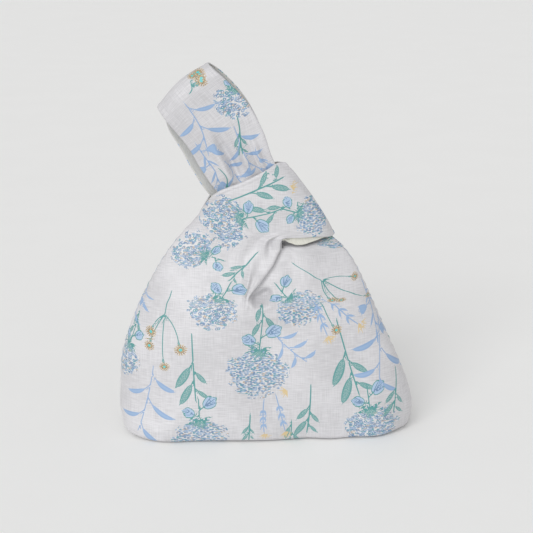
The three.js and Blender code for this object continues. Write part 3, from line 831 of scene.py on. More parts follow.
class Figures:
    """The figures woven into one panel's cloth. Headings are in radians, anticlockwise from +u."""

    def __init__(self, seed):
        self.blades = []
        self.blooms = []
        self.daisies = []
        self.chance = np.random.default_rng(seed)

    def around(self, value):
        return value * (1 + CHANCE_SHARE * self.chance.uniform(-1, 1))

    def blade(self, family, at, heading, length, half, bend=0.0, blunt=0.4):
        """A figure along an arc, widest in its middle; blunt 0 keeps one width. Gives its end and heading."""
        self.blades.append((family, at, heading, length, half, bend, blunt))
        return arc_end(at, heading, length, bend)

    def line(self, family, at, heading, length, bend, half=0.45):
        return self.blade(family, at, heading, length, half, bend, blunt=0.08)

    def leaf(self, at, heading, length, bend):
        """A lens-shaped leaf on a short stalk."""
        self.line("stem", at, heading, length * LEAF_RIB, bend * 0.3)
        foot, turned = arc_end(at, heading, length * LEAF_STALK, bend * LEAF_STALK)
        rest = 1 - LEAF_STALK
        self.blade("leaf", foot, turned, length * rest, length * LEAF_HALF, bend * rest, blunt=0.72)

    def bract(self, at, heading, length):
        """A petal drawn as a thin outline."""
        for opening in (BRACT_OPENING, -BRACT_OPENING):
            self.line("stem", at, heading + opening, length, -2 * opening, half=0.32)

    def head(self, at, heading, size):
        """A broad head of small florets below a calyx, with bracts and two buds. Gives its stem's end."""
        style = self.chance.uniform(0, 1)
        self.blooms.append((at, heading, size, style))
        top, _ = arc_end(at, heading, size * HEAD_TOP, 0)
        downward = heading + math.pi
        for turned in CALYX_TURNS:
            length = self.around(size * CALYX_LENGTH)
            self.blade("leaf", top, downward + turned, length, size * CALYX_HALF, 0.3 * turned)
        for turned in BRACT_TURNS:
            self.bract(top, downward + turned, self.around(size * BRACT_LENGTH))
        for foot, along, turned, length in shoots(top, heading, size, 0, HEAD_BUDS):
            self.bud(foot, along + turned, size * length)
        return self.line("stem", top, heading, size * HEAD_STEM, 0, half=0.5)

    def bloom(self, at, heading, size):
        """A head with a few leaves along its stem."""
        start, along = self.head(at, heading, size)
        bend = self.chance.uniform(-0.25, 0.25)
        stem = size * HEAD_STEM
        self.line("stem", start, along, stem, bend, half=0.5)
        for foot, onward, turned, length in shoots(start, along, stem, bend, BLOOM_LEAVES):
            self.leaf(foot, onward + turned, self.around(size * length), math.copysign(0.35, turned))

    def bud(self, at, heading, length):
        """A cup of three lobes on a short stem."""
        self.line("stem", at, heading, length * BUD_STALK, 0.2)
        foot, turned = arc_end(at, heading, length * BUD_FOOT, 0.1)
        for spread, share in BUD_LOBES:
            self.blade("bud", foot, turned + spread, length * share, length * BUD_HALF, -0.5 * spread)

    def leafy(self, at, heading, size):
        """A thin stem with a few lens-shaped leaves towards its end."""
        bend = self.chance.uniform(-0.15, 0.15)
        self.line("stem", at, heading, size, bend, half=0.6)
        for foot, along, turned, length in shoots(at, heading, size, bend, LEAFY_LEAVES):
            self.leaf(foot, along + turned, self.around(size * length), 0.5 * turned)

    def sickles(self, at, heading, size):
        """A thin blue stem with long thin crescents to both sides."""
        bend = self.chance.uniform(-0.4, 0.4)
        self.line("thread", at, heading, size, bend, half=0.42)
        for foot, along, turned, length in shoots(at, heading, size, bend, SICKLE_BLADES):
            curve = math.copysign(self.around(SICKLE_CURVE), turned)
            reach = self.around(size * length)
            half = self.around(SICKLE_HALF + size * SICKLE_HALF_GROWTH)
            self.line("thread", foot, along + turned, reach * SICKLE_THREAD, curve * SICKLE_THREAD, half=0.4)
            start, onward = arc_end(foot, along + turned, reach, curve, SICKLE_FOOT)
            rest = 1 - SICKLE_FOOT
            self.blade("sickle", start, onward, reach * rest, half, curve * rest, blunt=0.7)

    def daisy(self, at, heading, size, bend=0.3):
        """A small fringed daisy at the end of a thin stem."""
        end, along = self.line("stem", at, heading, size, bend, half=0.42)
        self.blade("leaf", end, along, DAISY_CUP, half=1.1, bend=0.2)
        head, _ = arc_end(end, along, DAISY_OFFSET, 0.2)
        self.daisies.append((head, along, self.around(DAISY_SIZE)))

    def daisies_on_stems(self, at, heading, size):
        """A thin stem that branches towards its end, with a daisy on each branch."""
        end, along = self.line("stem", at, heading, size * DAISY_STEM, 0.15)
        for turned, length, bend in DAISY_BRANCHES:
            self.daisy(end, along + turned, self.around(size * length), bend)

    def sprig(self, at, heading, size):
        """A thin blue sprig with small leaves in pairs and a gold tuft at its end."""
        bend = self.chance.uniform(-0.5, 0.5)
        end, along = self.line("thread", at, heading, size, bend)
        for foot, onward, turned, length in shoots(at, heading, size, bend, SPRIG_LEAVES):
            self.blade("sickle", foot, onward + turned, size * length, 0.9, -0.5 * turned, blunt=0.6)
        self.tuft(end, along, size * SPRIG_LEAF)

    def tuft(self, at, heading, size):
        """A fan of short gold lines."""
        for turned in TUFT_TURNS:
            self.blade("gold", at, heading + turned, self.around(size), half=0.42, bend=0.3 * turned)

    def bells(self, at, heading, size):
        """A thin blue stem with narrow leaves and wedge-shaped bell flowers."""
        bend = -0.3
        self.line("thread", at, heading, size, bend)
        for foot, along, turned, length in shoots(at, heading, size, bend, BELL_FLOWERS):
            end, onward = self.line("thread", foot, along + turned, size * length, 0.5 * turned, half=0.4)
            for spread in BELL_PETALS:
                self.blade("sickle", end, onward + spread, BELL_LENGTH, BELL_HALF)
        for share, turned in BELL_LEAVES:
            foot, along = arc_end(at, heading, size, bend, share)
            length = self.around(BELL_LEAF_LENGTH)
            self.blade("sickle", foot, along + turned, length, 0.95, 0.4 * turned, blunt=0.6)

    def place(self, rows):
        kinds = {
            "bloom": self.bloom, "head": self.head, "leafy": self.leafy, "sickles": self.sickles,
            "bells": self.bells, "daisies": self.daisies_on_stems, "daisy": self.daisy, "sprig": self.sprig,
            "tuft": self.tuft,
        }
        for kind, u, v, heading, size in rows:
            kinds[kind]((u, v), math.radians(heading), size)

    def blade_fields(self, flat):
        """For each family, the offset across the nearest blade in its widths, and the distance to it."""
        ratios = {family: np.full(len(flat), RATIO_LIMIT) for family in FAMILIES}
        nears = {family: np.full(len(flat), FAR) for family in FAMILIES}
        for family, at, heading, length, half, bend, blunt in self.blades:
            du, dv = flat[:, 0] - at[0], flat[:, 1] - at[1]
            close = np.flatnonzero(du * du + dv * dv < (length + half + BLADE_MARGIN) ** 2)
            along, offset = seen_from(flat[close], at, heading)
            share = along / length
            if abs(bend) > STRAIGHT:
                radius = length / bend
                side = math.copysign(1, radius)
                share = np.arctan2(along, side * (radius - offset)) / abs(bend)
                offset = side * (abs(radius) - np.hypot(along, offset - radius))
            inside = np.clip(share, 0, 1)
            width = np.maximum(THINNEST, half * (4 * inside * (1 - inside)) ** blunt)
            overrun = np.abs(share - inside) * length
            near = np.hypot(np.maximum(np.abs(offset) - width, 0), overrun)
            ratio = np.clip(offset / width, -RATIO_LIMIT, RATIO_LIMIT)
            found = near + RATIO_WEIGHT * np.abs(ratio)
            known = nears[family][close] + RATIO_WEIGHT * np.abs(ratios[family][close])
            nearer = found < known
            ratios[family][close[nearer]] = ratio[nearer]
            nears[family][close[nearer]] = near[nearer]
        return ratios, nears

    def attributes(self, flat):
        """The point attributes that the cloth's material reads, three numbers each."""
        ratios, nears = self.blade_fields(flat)
        fields = {}
        for name, families in FAMILY_GROUPS.items():
            fields[f"{name}_ratio"] = np.stack([ratios[family] for family in families], axis=-1)
            fields[f"{name}_near"] = np.stack([nears[family] for family in families], axis=-1)
        bloom, daisy = np.full((2, len(flat), 3), FAR)
        for at, heading, size, style in self.blooms:
            along, across = seen_from(flat, at, heading)
            flatness = np.where(along > 0, BLOOM_TOP_FLATNESS, BLOOM_FLATNESS)
            ratio = np.hypot(across, along * flatness) / size
            nearer = ratio < bloom[:, 0]
            bloom[nearer, 0] = ratio[nearer]
            bloom[nearer, 1] = style
        for at, heading, size in self.daisies:
            along, across = seen_from(flat, at, heading)
            distance = np.hypot(along, across) / size
            nearer = distance < daisy[:, 2]
            seen = np.stack([along * DAISY_FLATNESS / size, across / size, distance], axis=-1)
            daisy[nearer] = seen[nearer]
        return {**fields, "bloom": bloom, "daisy": daisy}


# Where the figures lie on the flat cloth: kind, u, v, heading in degrees, size.
FIGURE_LAYOUT = [
    ("bloom", -36, 210, 12, 22),
    ("head", -66, 182, 345, 19),
    ("head", -46, 121, 62, 22),
    ("head", 28, 123, 128, 21),
    ("bloom", -8, 64, 84, 25),
    ("head", 92, 12, 98, 24),
    ("head", -57, 4, 92, 23),
    ("bloom", -128, 70, 70, 17),
    ("head", 38, 215, 165, 16),
    ("bloom", 146, 74, 100, 17),
    ("bloom", 14, -36, 80, 22),
    ("leafy", -64, 96, 272, 58),
    ("leafy", 60, 108, 286, 70),
    ("leafy", -8, 184, 236, 40),
    ("leafy", 38, 52, 270, 46),
    ("leafy", 118, 60, 262, 40),
    ("leafy", -14, 26, 268, 24),
    ("sickles", 6, 96, 312, 36),
    ("sickles", 104, 112, 264, 66),
    ("sickles", -98, 66, 262, 60),
    ("sickles", -108, 142, 252, 40),
    ("leafy", -33, 228, 19, 52),
    ("daisies", -82, 140, 254, 60),
    ("daisies", 22, 172, 318, 64),
    ("daisy", 46, 128, 284, 26),
    ("daisies", 138, 130, 262, 40),
    ("bells", 86, 148, 292, 54),
    ("bells", -118, 132, 246, 36),
    ("bells", -60, -44, 350, 34),
    ("sprig", 48, 134, 302, 46),
    ("sprig", 40, 132, 282, 40),
    ("sprig", -2, 38, 262, 30),
    ("sprig", 8, 42, 284, 34),
    ("tuft", 18, 46, 210, 6),
    ("tuft", 20, 240, 350, 6),
]
WRIST_LAYOUT = [
    ("bloom", 322, 160, 40, 15),
    ("bloom", 322, 8, 70, 10),
    ("sickles", 292, 184, 266, 52),
    ("sickles", 312, 142, 270, 46),
    ("sickles", 286, 122, 284, 40),
    ("bells", 276, 150, 268, 44),
    ("daisies", 300, 186, 20, 12),
    ("leafy", 318, 148, 258, 30),
    ("leafy", 276, 118, 288, 40),
    ("sprig", 326, 118, 262, 34),
]
BACK_TURN = 174.0  # the back's figures are the front's, turned half round and moved along the cloth


def figures_for(side):
    figures = Figures(FIGURE_SEED)
    if side == FRONT:
        figures.place(FIGURE_LAYOUT)
    else:
        figures.place([
            (kind, -u, BACK_TURN - v, heading + 180, size) for kind, u, v, heading, size in FIGURE_LAYOUT
        ])
    figures.place(WRIST_LAYOUT)
    return figures


# Materials

# The weave's noises: how many times they change in a millimetre along u and v, and their detail
SLUBS_ACROSS = (0.09, 1.5, 3.0)
SLUBS_ALONG = (1.6, 0.06, 3.0)
FINE_GRAIN = (2.4, 2.4, 1.0)
# The broad tones stand in for the satin's uneven lustre: painted sheen, as broad lighter and darker patches at
# random. The slubs and grain belong to the weave itself.
BROAD_SHEEN_TONES = (0.02, 0.02, 2.0)
SLUBS_ACROSS_SHARE, SLUBS_ALONG_SHARE = 0.6, 0.4
FINE_HEIGHT = 0.35
# The tint is mostly the slubs' own tone, with a share of broad painted sheen.
THREAD_TINT, BROAD_SHEEN_SHARE = 0.7, 0.3
SLUB_AND_SHEEN_RANGE = (0.62, 0.38)
# How dark the ground and the lining get along the slubs and in the broad painted-sheen patches.
GROUND_SLUB_AND_SHEEN_DARK, LINING_SLUB_AND_SHEEN_DARK = 0.78, 0.82
WEAVE_DEPTH = 0.0003
SATIN_BUMP, LINING_BUMP = 0.3, 0.25
SATIN_ROUGHNESS, FIGURE_ROUGHNESS_MORE = 0.4, 0.16
LINING_ROUGHNESS = 0.45
FIGURE_HEIGHT = 0.5
SHEEN, SHEEN_ROUGHNESS = 0.2, 0.4

# A figure's soft edge in shares of its width, its reach past that in millimetres, and how ragged edges are
FIGURE_EDGE = (0.9, 1.1)
FIGURE_REACH = 1.1
SPECKLE_SCALE = 1.1
MIDDLE = 0.5  # the middle of a noise or a chance
RAGGED, LEAF_RAGGED_SHARE = 0.7, 0.35

# Florets: how many come in a millimetre along u and v, and their soft edges in shares of their spacing
DASHES, RINGS = (0.42, 0.9, 0), (0.31, 0.34, 0)
DASH_EDGE, RING_EDGE, RING_HOLE = (0.46, 0.57), (0.43, 0.51), (0.12, 0.2)
HEAD_EDGE, HEAD_RAGGED = (0.97, 1.0), 0.3
HEAD_PALENESS = 0.7
FLORET_COLOURS = {  # the chance from which on a floret has each colour
    "bloom": 0.0, "bloom_deep": 0.38, "bloom_grey": 0.56, "bloom_teal": 0.74, "bloom_fawn": 0.92,
}

# Leaves with pale flecks, buds and blades, in shares of their widths; the buds' outline is in millimetres
LEAF_INSIDE = (0.55, 0.8)
FLECK_SCALE, FLECK_RANGE, FLECK_SHARE = 1.5, (0.58, 0.44), 0.8
FLECK_LIFT, FLECK_TINT = 0.36, 0.5
BUD_OUTLINE, BUD_VEIN = 0.7, 0.14
SICKLE_CORE, SICKLE_CORE_SHARE = (0.2, 0.7), 0.35

# Daisies, in shares of their size
RAY_COUNT, RAY_GAP = 15.0, -0.25
RAY_LENGTH, RAY_RAGGED = 0.84, 0.9
DISC_RADIUS, HEART_RADIUS, DAISY_REACH = 0.5, 0.22, 1.2
RAY_BROWN = (0.45, 0.6)

FLOOR_CLOUDS, FLOOR_CLOUD_DETAIL, FLOOR_CLOUD_SHADE = 9.0, 4.0, 0.97
FLOOR_ROUGHNESS = 0.7

# Sockets of a Mix node by number, because several share a name
MIX_FACTOR, MIX_VALUE_A, MIX_VALUE_B, MIX_COLOUR_A, MIX_COLOUR_B = 0, 2, 3, 6, 7
MIX_VALUE_OUT, MIX_COLOUR_OUT = 0, 2


class Nodes:
    """Short calls for filling a node tree. A value is a socket or a plain number, vector or colour."""

    def __init__(self, tree):
        self.tree = tree

    def fill(self, node, inputs):
        for name, value in inputs.items():
            if isinstance(value, bpy.types.NodeSocket):
                self.tree.links.new(value, node.inputs[name])
            else:
                node.inputs[name].default_value = value

    def add(self, kind, inputs=None, **settings):
        node = self.tree.nodes.new(kind)
        for name, value in settings.items():
            setattr(node, name, value)
        self.fill(node, inputs or {})
        return node

    def math(self, operation, *values):
        return self.add("ShaderNodeMath", dict(enumerate(values)), operation=operation).outputs[0]

    def plus(self, a, b):
        return self.math("ADD", a, b)

    def minus(self, a, b):
        return self.math("SUBTRACT", a, b)

    def times(self, a, b):
        return self.math("MULTIPLY", a, b)

    def most(self, a, b):
        return self.math("MAXIMUM", a, b)

    def below(self, value, limit):
        return self.math("LESS_THAN", value, limit)

    def above(self, value, limit):
        return self.math("GREATER_THAN", value, limit)

    def size(self, value):
        return self.math("ABSOLUTE", value)

    def scaled(self, vector, factors):
        return self.add("ShaderNodeVectorMath", {0: vector, 1: factors}, operation="MULTIPLY").outputs[0]

    def value_mix(self, factor, a, b):
        inputs = {MIX_FACTOR: factor, MIX_VALUE_A: a, MIX_VALUE_B: b}
        return self.add("ShaderNodeMix", inputs).outputs[MIX_VALUE_OUT]

    def colour_mix(self, factor, a, b, blend="MIX"):
        a, b = (value if isinstance(value, bpy.types.NodeSocket) else (*value, 1.0) for value in (a, b))
        inputs = {MIX_FACTOR: factor, MIX_COLOUR_A: a, MIX_COLOUR_B: b}
        node = self.add("ShaderNodeMix", inputs, data_type="RGBA", blend_type=blend)
        return node.outputs[MIX_COLOUR_OUT]

    def ease(self, value, low, high):
        """1 where value is at low or past it, 0 at high, with a smooth step between."""
        inputs = {"Value": value, "From Min": low, "From Max": high, "To Min": 1.0, "To Max": 0.0}
        return self.add("ShaderNodeMapRange", inputs, interpolation_type="SMOOTHSTEP").outputs[0]

    def noise(self, vector, scale, detail):
        inputs = {"Vector": vector, "Scale": scale, "Detail": detail}
        return self.add("ShaderNodeTexNoise", inputs).outputs["Fac"]

    def parts(self, vector):
        return tuple(self.add("ShaderNodeSeparateXYZ", {0: vector}).outputs)

    def attribute(self, name):
        return self.add("ShaderNodeAttribute", attribute_name=name).outputs["Vector"]

    def bump(self, height, strength):
        inputs = {"Height": height, "Strength": strength, "Distance": WEAVE_DEPTH}
        return self.add("ShaderNodeBump", inputs).outputs[0]


def new_group(name, inputs, outputs):
    """A shader node group with vector or float sockets, its nodes, its inputs and its output node."""
    group = bpy.data.node_groups.new(name, "ShaderNodeTree")
    for direction, sockets in (("INPUT", inputs), ("OUTPUT", outputs)):
        for socket, kind in sockets.items():
            group.interface.new_socket(name=socket, in_out=direction, socket_type=f"NodeSocket{kind}")
    nodes = Nodes(group)
    return group, nodes, nodes.add("NodeGroupInput").outputs, nodes.add("NodeGroupOutput")


def weave_group():
    """Satin weave: slubs along and across the cloth, for tint and for height, with broad patches of painted
    sheen in the tint only. Cloth is in millimetres.
    """
    found = bpy.data.node_groups.get("Satin weave")
    if found:
        return found
    outputs = {"Tint": "Float", "Height": "Float"}
    group, nodes, inputs, output = new_group("Satin weave", {"Cloth": "Vector"}, outputs)
    across, along, fine, broad = (
        nodes.noise(nodes.scaled(inputs["Cloth"], (per_u, per_v, 0)), 1.0, detail)
        for per_u, per_v, detail in (SLUBS_ACROSS, SLUBS_ALONG, FINE_GRAIN, BROAD_SHEEN_TONES)
    )
    threads = nodes.plus(nodes.times(across, SLUBS_ACROSS_SHARE), nodes.times(along, SLUBS_ALONG_SHARE))
    height = nodes.plus(threads, nodes.times(fine, FINE_HEIGHT))
    # The broad part of the tint is painted sheen; the threads' part is the weave's own tone.
    tint = nodes.plus(nodes.times(threads, THREAD_TINT), nodes.times(broad, BROAD_SHEEN_SHARE))
    nodes.fill(output, {"Tint": tint, "Height": height})
    return group


def figure_group():
    """Figure edge: 1 inside a woven figure, from its offset across and the distance to it."""
    found = bpy.data.node_groups.get("Figure edge")
    if found:
        return found
    sockets = {"Ratio": "Float", "Near": "Float", "Ragged": "Float"}
    group, nodes, inputs, output = new_group("Figure edge", sockets, {"Mask": "Float"})
    width = nodes.plus(nodes.size(inputs["Ratio"]), inputs["Ragged"])
    inside = nodes.ease(width, *FIGURE_EDGE)
    close = nodes.below(inputs["Near"], FIGURE_REACH)
    nodes.fill(output, {"Mask": nodes.times(inside, close)})
    return group


def cloth_place(nodes):
    """The flat cloth's millimetres, from the piece's own UV map."""
    uv = nodes.add("ShaderNodeUVMap", uv_map="Cloth").outputs[0]
    return nodes.scaled(uv, (UV_SPAN, UV_SPAN, 0))


def new_material(name):
    material = bpy.data.materials.new(name)
    material.use_nodes = True
    material.node_tree.nodes.clear()
    nodes = Nodes(material.node_tree)
    shader = nodes.add("ShaderNodeBsdfPrincipled")
    nodes.add("ShaderNodeOutputMaterial", {"Surface": shader.outputs[0]})
    return material, nodes, shader


def slub_and_sheen_toned(nodes, weave, tone, shade):
    """A satin's tone, darkened to a share of it along the slubs and, as painted sheen, in broad patches."""
    dark = nodes.colour_mix(1.0, tone, (shade, shade, shade), "MULTIPLY")
    return nodes.colour_mix(nodes.ease(weave.outputs["Tint"], *SLUB_AND_SHEEN_RANGE), dark, tone)


def lining_material(colours):
    """Plain ivory satin, mixed to a darker grey as the piece's shade attribute goes from 0 to 1: painted
    shade, for the lining inside the wrist loop.
    """
    material, nodes, shader = new_material("Lining satin")
    weave = nodes.add("ShaderNodeGroup", {"Cloth": cloth_place(nodes)}, node_tree=weave_group())
    # Painted shade: the wrist loop's lining is the ivory lining drawn darker and greyer, as if it lay in
    # shade.
    grey = nodes.add("ShaderNodeAttribute", attribute_name="lining_in_painted_shade").outputs["Fac"]
    tone = nodes.colour_mix(grey, colours.lining, colours.lining_in_painted_shade)
    nodes.fill(shader, {
        "Base Color": slub_and_sheen_toned(nodes, weave, tone, LINING_SLUB_AND_SHEEN_DARK),
        "Normal": nodes.bump(weave.outputs["Height"], LINING_BUMP),
        "Roughness": LINING_ROUGHNESS,
        "Sheen Weight": SHEEN,
    })
    return material


def woven_families(nodes, ragged):
    """For each family of figures: its mask, the offset across a figure and the distance to it."""
    woven = {}
    for name, families in FAMILY_GROUPS.items():
        ratios = nodes.parts(nodes.attribute(f"{name}_ratio"))
        nears = nodes.parts(nodes.attribute(f"{name}_near"))
        for family, ratio, near in zip(families, ratios, nears):
            rough = nodes.times(ragged, LEAF_RAGGED_SHARE) if family == "leaf" else 0.0
            sockets = {"Ratio": ratio, "Near": near, "Ragged": rough}
            mask = nodes.add("ShaderNodeGroup", sockets, node_tree=figure_group()).outputs[0]
            woven[family] = (mask, ratio, near)
    return woven


def with_heads(nodes, colours, place, under):
    """Adds the heads of short dashes, or of small rings with some dashes, over a paler ground."""
    ratio, style, _ = nodes.parts(nodes.attribute("bloom"))

    def florets(density):
        inputs = {"Vector": nodes.scaled(place, density), "Scale": 1.0}
        found = nodes.add("ShaderNodeTexVoronoi", inputs, voronoi_dimensions="2D")
        return found.outputs["Distance"], nodes.parts(found.outputs["Color"])

    dash_distance, dash_chance = florets(DASHES)
    ring_distance, ring_chance = florets(RINGS)
    in_dash = nodes.ease(dash_distance, *DASH_EDGE)
    in_ring = nodes.minus(nodes.ease(ring_distance, *RING_EDGE), nodes.ease(ring_distance, *RING_HOLE))
    some_dashes = nodes.times(in_dash, nodes.below(dash_chance[2], MIDDLE))
    rings_and_dashes = nodes.most(in_ring, some_dashes)
    has_rings = nodes.above(style, MIDDLE)
    drawn = nodes.value_mix(has_rings, in_dash, rings_and_dashes)
    uneven = nodes.times(nodes.minus(ring_chance[1], MIDDLE), HEAD_RAGGED)
    in_head = nodes.ease(nodes.plus(ratio, uneven), *HEAD_EDGE)

    blues = nodes.add("ShaderNodeValToRGB", {"Fac": dash_chance[0]})
    blues.color_ramp.interpolation = "CONSTANT"
    elements = blues.color_ramp.elements
    while len(elements) < len(FLORET_COLOURS):
        elements.new(1.0)
    for element, (name, position) in zip(elements, FLORET_COLOURS.items()):
        element.position = position
        element.color = (*getattr(colours, name), 1.0)
    paler = nodes.colour_mix(nodes.times(in_head, HEAD_PALENESS), under, colours.bloom_white)
    return nodes.colour_mix(nodes.times(in_head, drawn), paler, blues.outputs[0])


def with_blades(nodes, colours, place, woven, under):
    """Adds the leaves with a darker rim and pale flecks, then buds, blue blades, stems and gold tufts."""
    leaf, leaf_ratio, _ = woven["leaf"]
    leaf_inside = nodes.ease(nodes.size(leaf_ratio), *LEAF_INSIDE)
    fleck_noise = nodes.noise(place, FLECK_SCALE, detail=1.0)
    flecks = nodes.times(nodes.ease(fleck_noise, *FLECK_RANGE), leaf_inside)
    pale_teal = [FLECK_LIFT + FLECK_TINT * channel for channel in colours.teal]
    leaf_colour = nodes.colour_mix(nodes.times(flecks, FLECK_SHARE), colours.teal, pale_teal)
    bud, bud_ratio, bud_near = woven["bud"]
    bud_vein = nodes.below(nodes.size(bud_ratio), BUD_VEIN)
    bud_colour = nodes.colour_mix(bud_vein, colours.bud, colours.bloom_deep)
    sickle, sickle_ratio, _ = woven["sickle"]
    sickle_core = nodes.times(nodes.ease(nodes.size(sickle_ratio), *SICKLE_CORE), SICKLE_CORE_SHARE)
    blade_colour = nodes.colour_mix(sickle_core, colours.blade, colours.bud)
    for mask, paint in (
        (leaf, leaf_colour),
        (nodes.below(bud_near, BUD_OUTLINE), colours.teal),
        (bud, bud_colour),
        (woven["thread"][0], colours.blade),
        (sickle, blade_colour),
        (woven["stem"][0], colours.teal),
        (woven["gold"][0], colours.gold),
    ):
        under = nodes.colour_mix(mask, under, paint)
    return under


def with_daisies(nodes, colours, speckle, ragged, under):
    """Adds the daisies: a fringe of rays round a turquoise heart."""
    daisy_u, daisy_v, near = nodes.parts(nodes.attribute("daisy"))
    radius = nodes.math("SQRT", nodes.plus(nodes.times(daisy_u, daisy_u), nodes.times(daisy_v, daisy_v)))
    rays = nodes.math("SINE", nodes.times(nodes.math("ARCTAN2", daisy_v, daisy_u), RAY_COUNT))
    ray_end = nodes.plus(RAY_LENGTH, nodes.times(ragged, RAY_RAGGED))
    in_rays = nodes.times(nodes.above(rays, RAY_GAP), nodes.below(radius, ray_end))
    fringe = nodes.most(in_rays, nodes.below(radius, DISC_RADIUS))
    near_daisy = nodes.below(near, DAISY_REACH)
    ray_colour = nodes.colour_mix(nodes.ease(speckle, *RAY_BROWN), colours.gold, colours.brown)
    under = nodes.colour_mix(nodes.times(fringe, near_daisy), under, ray_colour)
    heart = nodes.times(nodes.below(radius, HEART_RADIUS), near_daisy)
    return nodes.colour_mix(heart, under, colours.aqua)


def figured_material(colours):
    """Silver satin ground with its woven flowers, leaves, sickle blades and daisies."""
    material, nodes, shader = new_material("Figured satin")
    place = cloth_place(nodes)
    weave = nodes.add("ShaderNodeGroup", {"Cloth": place}, node_tree=weave_group())
    speckle = nodes.noise(place, SPECKLE_SCALE, detail=2.0)
    ragged = nodes.times(nodes.minus(speckle, MIDDLE), RAGGED)
    woven = woven_families(nodes, ragged)
    tone = slub_and_sheen_toned(nodes, weave, colours.ground, GROUND_SLUB_AND_SHEEN_DARK)
    tone = with_heads(nodes, colours, place, tone)
    tone = with_blades(nodes, colours, place, woven, tone)
    tone = with_daisies(nodes, colours, speckle, ragged, tone)
    figures = 0.0
    for mask, _, _ in woven.values():
        figures = nodes.most(figures, mask)
    height = nodes.plus(weave.outputs["Height"], nodes.times(figures, FIGURE_HEIGHT))
    nodes.fill(shader, {
        "Base Color": tone,
        "Roughness": nodes.plus(SATIN_ROUGHNESS, nodes.times(figures, FIGURE_ROUGHNESS_MORE)),
        "Normal": nodes.bump(height, SATIN_BUMP),
        "Sheen Weight": SHEEN,
        "Sheen Roughness": SHEEN_ROUGHNESS,
    })
    return material


def material_named(name, make, colours):
    return bpy.data.materials.get(name) or make(colours)


def floor_material(value):
    """A pale floor with faint clouds."""
    material, nodes, shader = new_material("Pale floor")
    place = nodes.add("ShaderNodeTexCoord").outputs["Object"]
    cloud = nodes.noise(place, FLOOR_CLOUDS, FLOOR_CLOUD_DETAIL)
    dark = [FLOOR_CLOUD_SHADE * channel for channel in value]
    nodes.fill(shader, {"Base Color": nodes.colour_mix(cloud, dark, value), "Roughness": FLOOR_ROUGHNESS})
    return material


# Settings, operators and the sidebar panel

# How a screen's colour numbers become linear ones
SCREEN_FULL, SCREEN_KNEE, SCREEN_SLOPE, SCREEN_OFFSET, SCREEN_POWER = 255, 0.04045, 12.92, 0.055, 2.4


def length_setting(name, description, default):
    return FloatProperty(
        name=name, description=description, default=default, min=0.0, unit="LENGTH", precision=4
    )


def angle_setting(name, description, degrees):
    return FloatProperty(name=name, description=description, default=math.radians(degrees), subtype="ANGLE")


def colour_setting(name, description, *screen):
    """A colour given in the 0 to 255 numbers of a screen."""
    def linear(value):
        share = value / SCREEN_FULL
        if share <= SCREEN_KNEE:
            return share / SCREEN_SLOPE
        return ((share + SCREEN_OFFSET) / (1 + SCREEN_OFFSET)) ** SCREEN_POWER
    default = tuple(linear(value) for value in screen)
    return FloatVectorProperty(
        name=name, description=description, default=default, size=3, min=0.0, max=1.0, subtype="COLOR"
    )


class KnotBagSizes(PropertyGroup):
    """Thicknesses and relief of the cloth."""

    cloth: length_setting("Cloth", "Thickness of the figured cloth", 0.0011)
    lining: length_setting("Lining", "Thickness of the lining", 0.0008)
    layer_gap: length_setting("Layer gap", "Space between the cloth and its lining", 0.0005)
    edge_roll: length_setting("Edge roll", "Height of the turned edges of the handles", 0.00035)
    seam_groove: length_setting("Seam groove", "Depth of the seams", 0.001)
    pucker: length_setting("Pucker", "Height of the puckers beside the side seams", 0.00035)
    unevenness: length_setting("Unevenness", "Height of the cloth's soft unevenness", 0.0008)


class KnotBagColours(PropertyGroup):
    """Colours of the threads."""

    ground: colour_setting("Ground", "Satin ground", 214, 213, 216)
    lining: colour_setting("Lining", "Ivory lining of the short handle", 224, 223, 213)
    # Painted shade: the same cloth as the ivory lining, drawn darker and greyer where the long handle's lining
    # lies in shade.
    lining_in_painted_shade: colour_setting("Lining grey", "Silver-grey lining of the long handle", 198, 199, 198)
    teal: colour_setting("Teal", "Leaves and stems", 88, 150, 149)
    bloom: colour_setting("Bloom", "Most of the florets", 150, 172, 198)
    bloom_deep: colour_setting("Bloom deep", "Darker florets", 112, 140, 172)
    bloom_grey: colour_setting("Bloom grey", "Greyer florets", 140, 152, 172)
    bloom_teal: colour_setting("Bloom teal", "Greener florets", 106, 156, 170)
    bloom_fawn: colour_setting("Bloom fawn", "A few warm florets", 186, 172, 158)
    bloom_white: colour_setting("Bloom white", "Between the florets", 216, 215, 214)
    blade: colour_setting("Blade", "Sickle blades and blue stems", 140, 168, 204)
    bud: colour_setting("Bud", "Inside of the buds", 168, 190, 214)
    gold: colour_setting("Gold", "Tufts and daisy rays", 210, 188, 144)
    brown: colour_setting("Brown", "Darker daisy rays", 138, 118, 94)
    aqua: colour_setting("Aqua", "Hearts of the daisies", 92, 196, 196)


class KnotBagStage(PropertyGroup):
    """Camera, light and floor."""

    camera_distance: length_setting("Camera distance", "From the bag's middle to the camera", 1.128)
    camera_height: length_setting("Camera target", "Height that the camera looks at", 0.1454)
    camera_angle: angle_setting("Camera angle", "How far above level the camera stands", 16)
    focal_length: FloatProperty(name="Focal length", description="Of the lens", default=87.8, unit="CAMERA")
    key_power: FloatProperty(
        name="Key light", description="Strength of the broad light at the upper left", default=1.55
    )
    key_spread: angle_setting("Key spread", "How broad the light at the upper left is", 40)
    surround: FloatProperty(name="Surround", description="Strength of the light all round", default=0.59)
    floor: colour_setting("Floor", "Pale floor", 249, 249, 248)


# Flat sizes of the sheets in metres
COLLAR_LINING_FLAT = (0.085, 0.125)
WRIST_LINING_FLAT = (0.06, 0.25)

KEY_LIGHT_FROM = Vector((-0.5, -1.2, 0.75))
FLOOR_REACH = 6.0
SENSOR_WIDTH = 36
CLIP_START = 0.05
WHITE = (1, 1, 1, 1)


def add_piece(name, mesh, materials, node):
    piece = bpy.data.objects.new(name, mesh)
    bpy.context.scene.collection.objects.link(piece)
    for material in materials:
        mesh.materials.append(material)
    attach(piece, "root")
    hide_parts(node)
    return piece


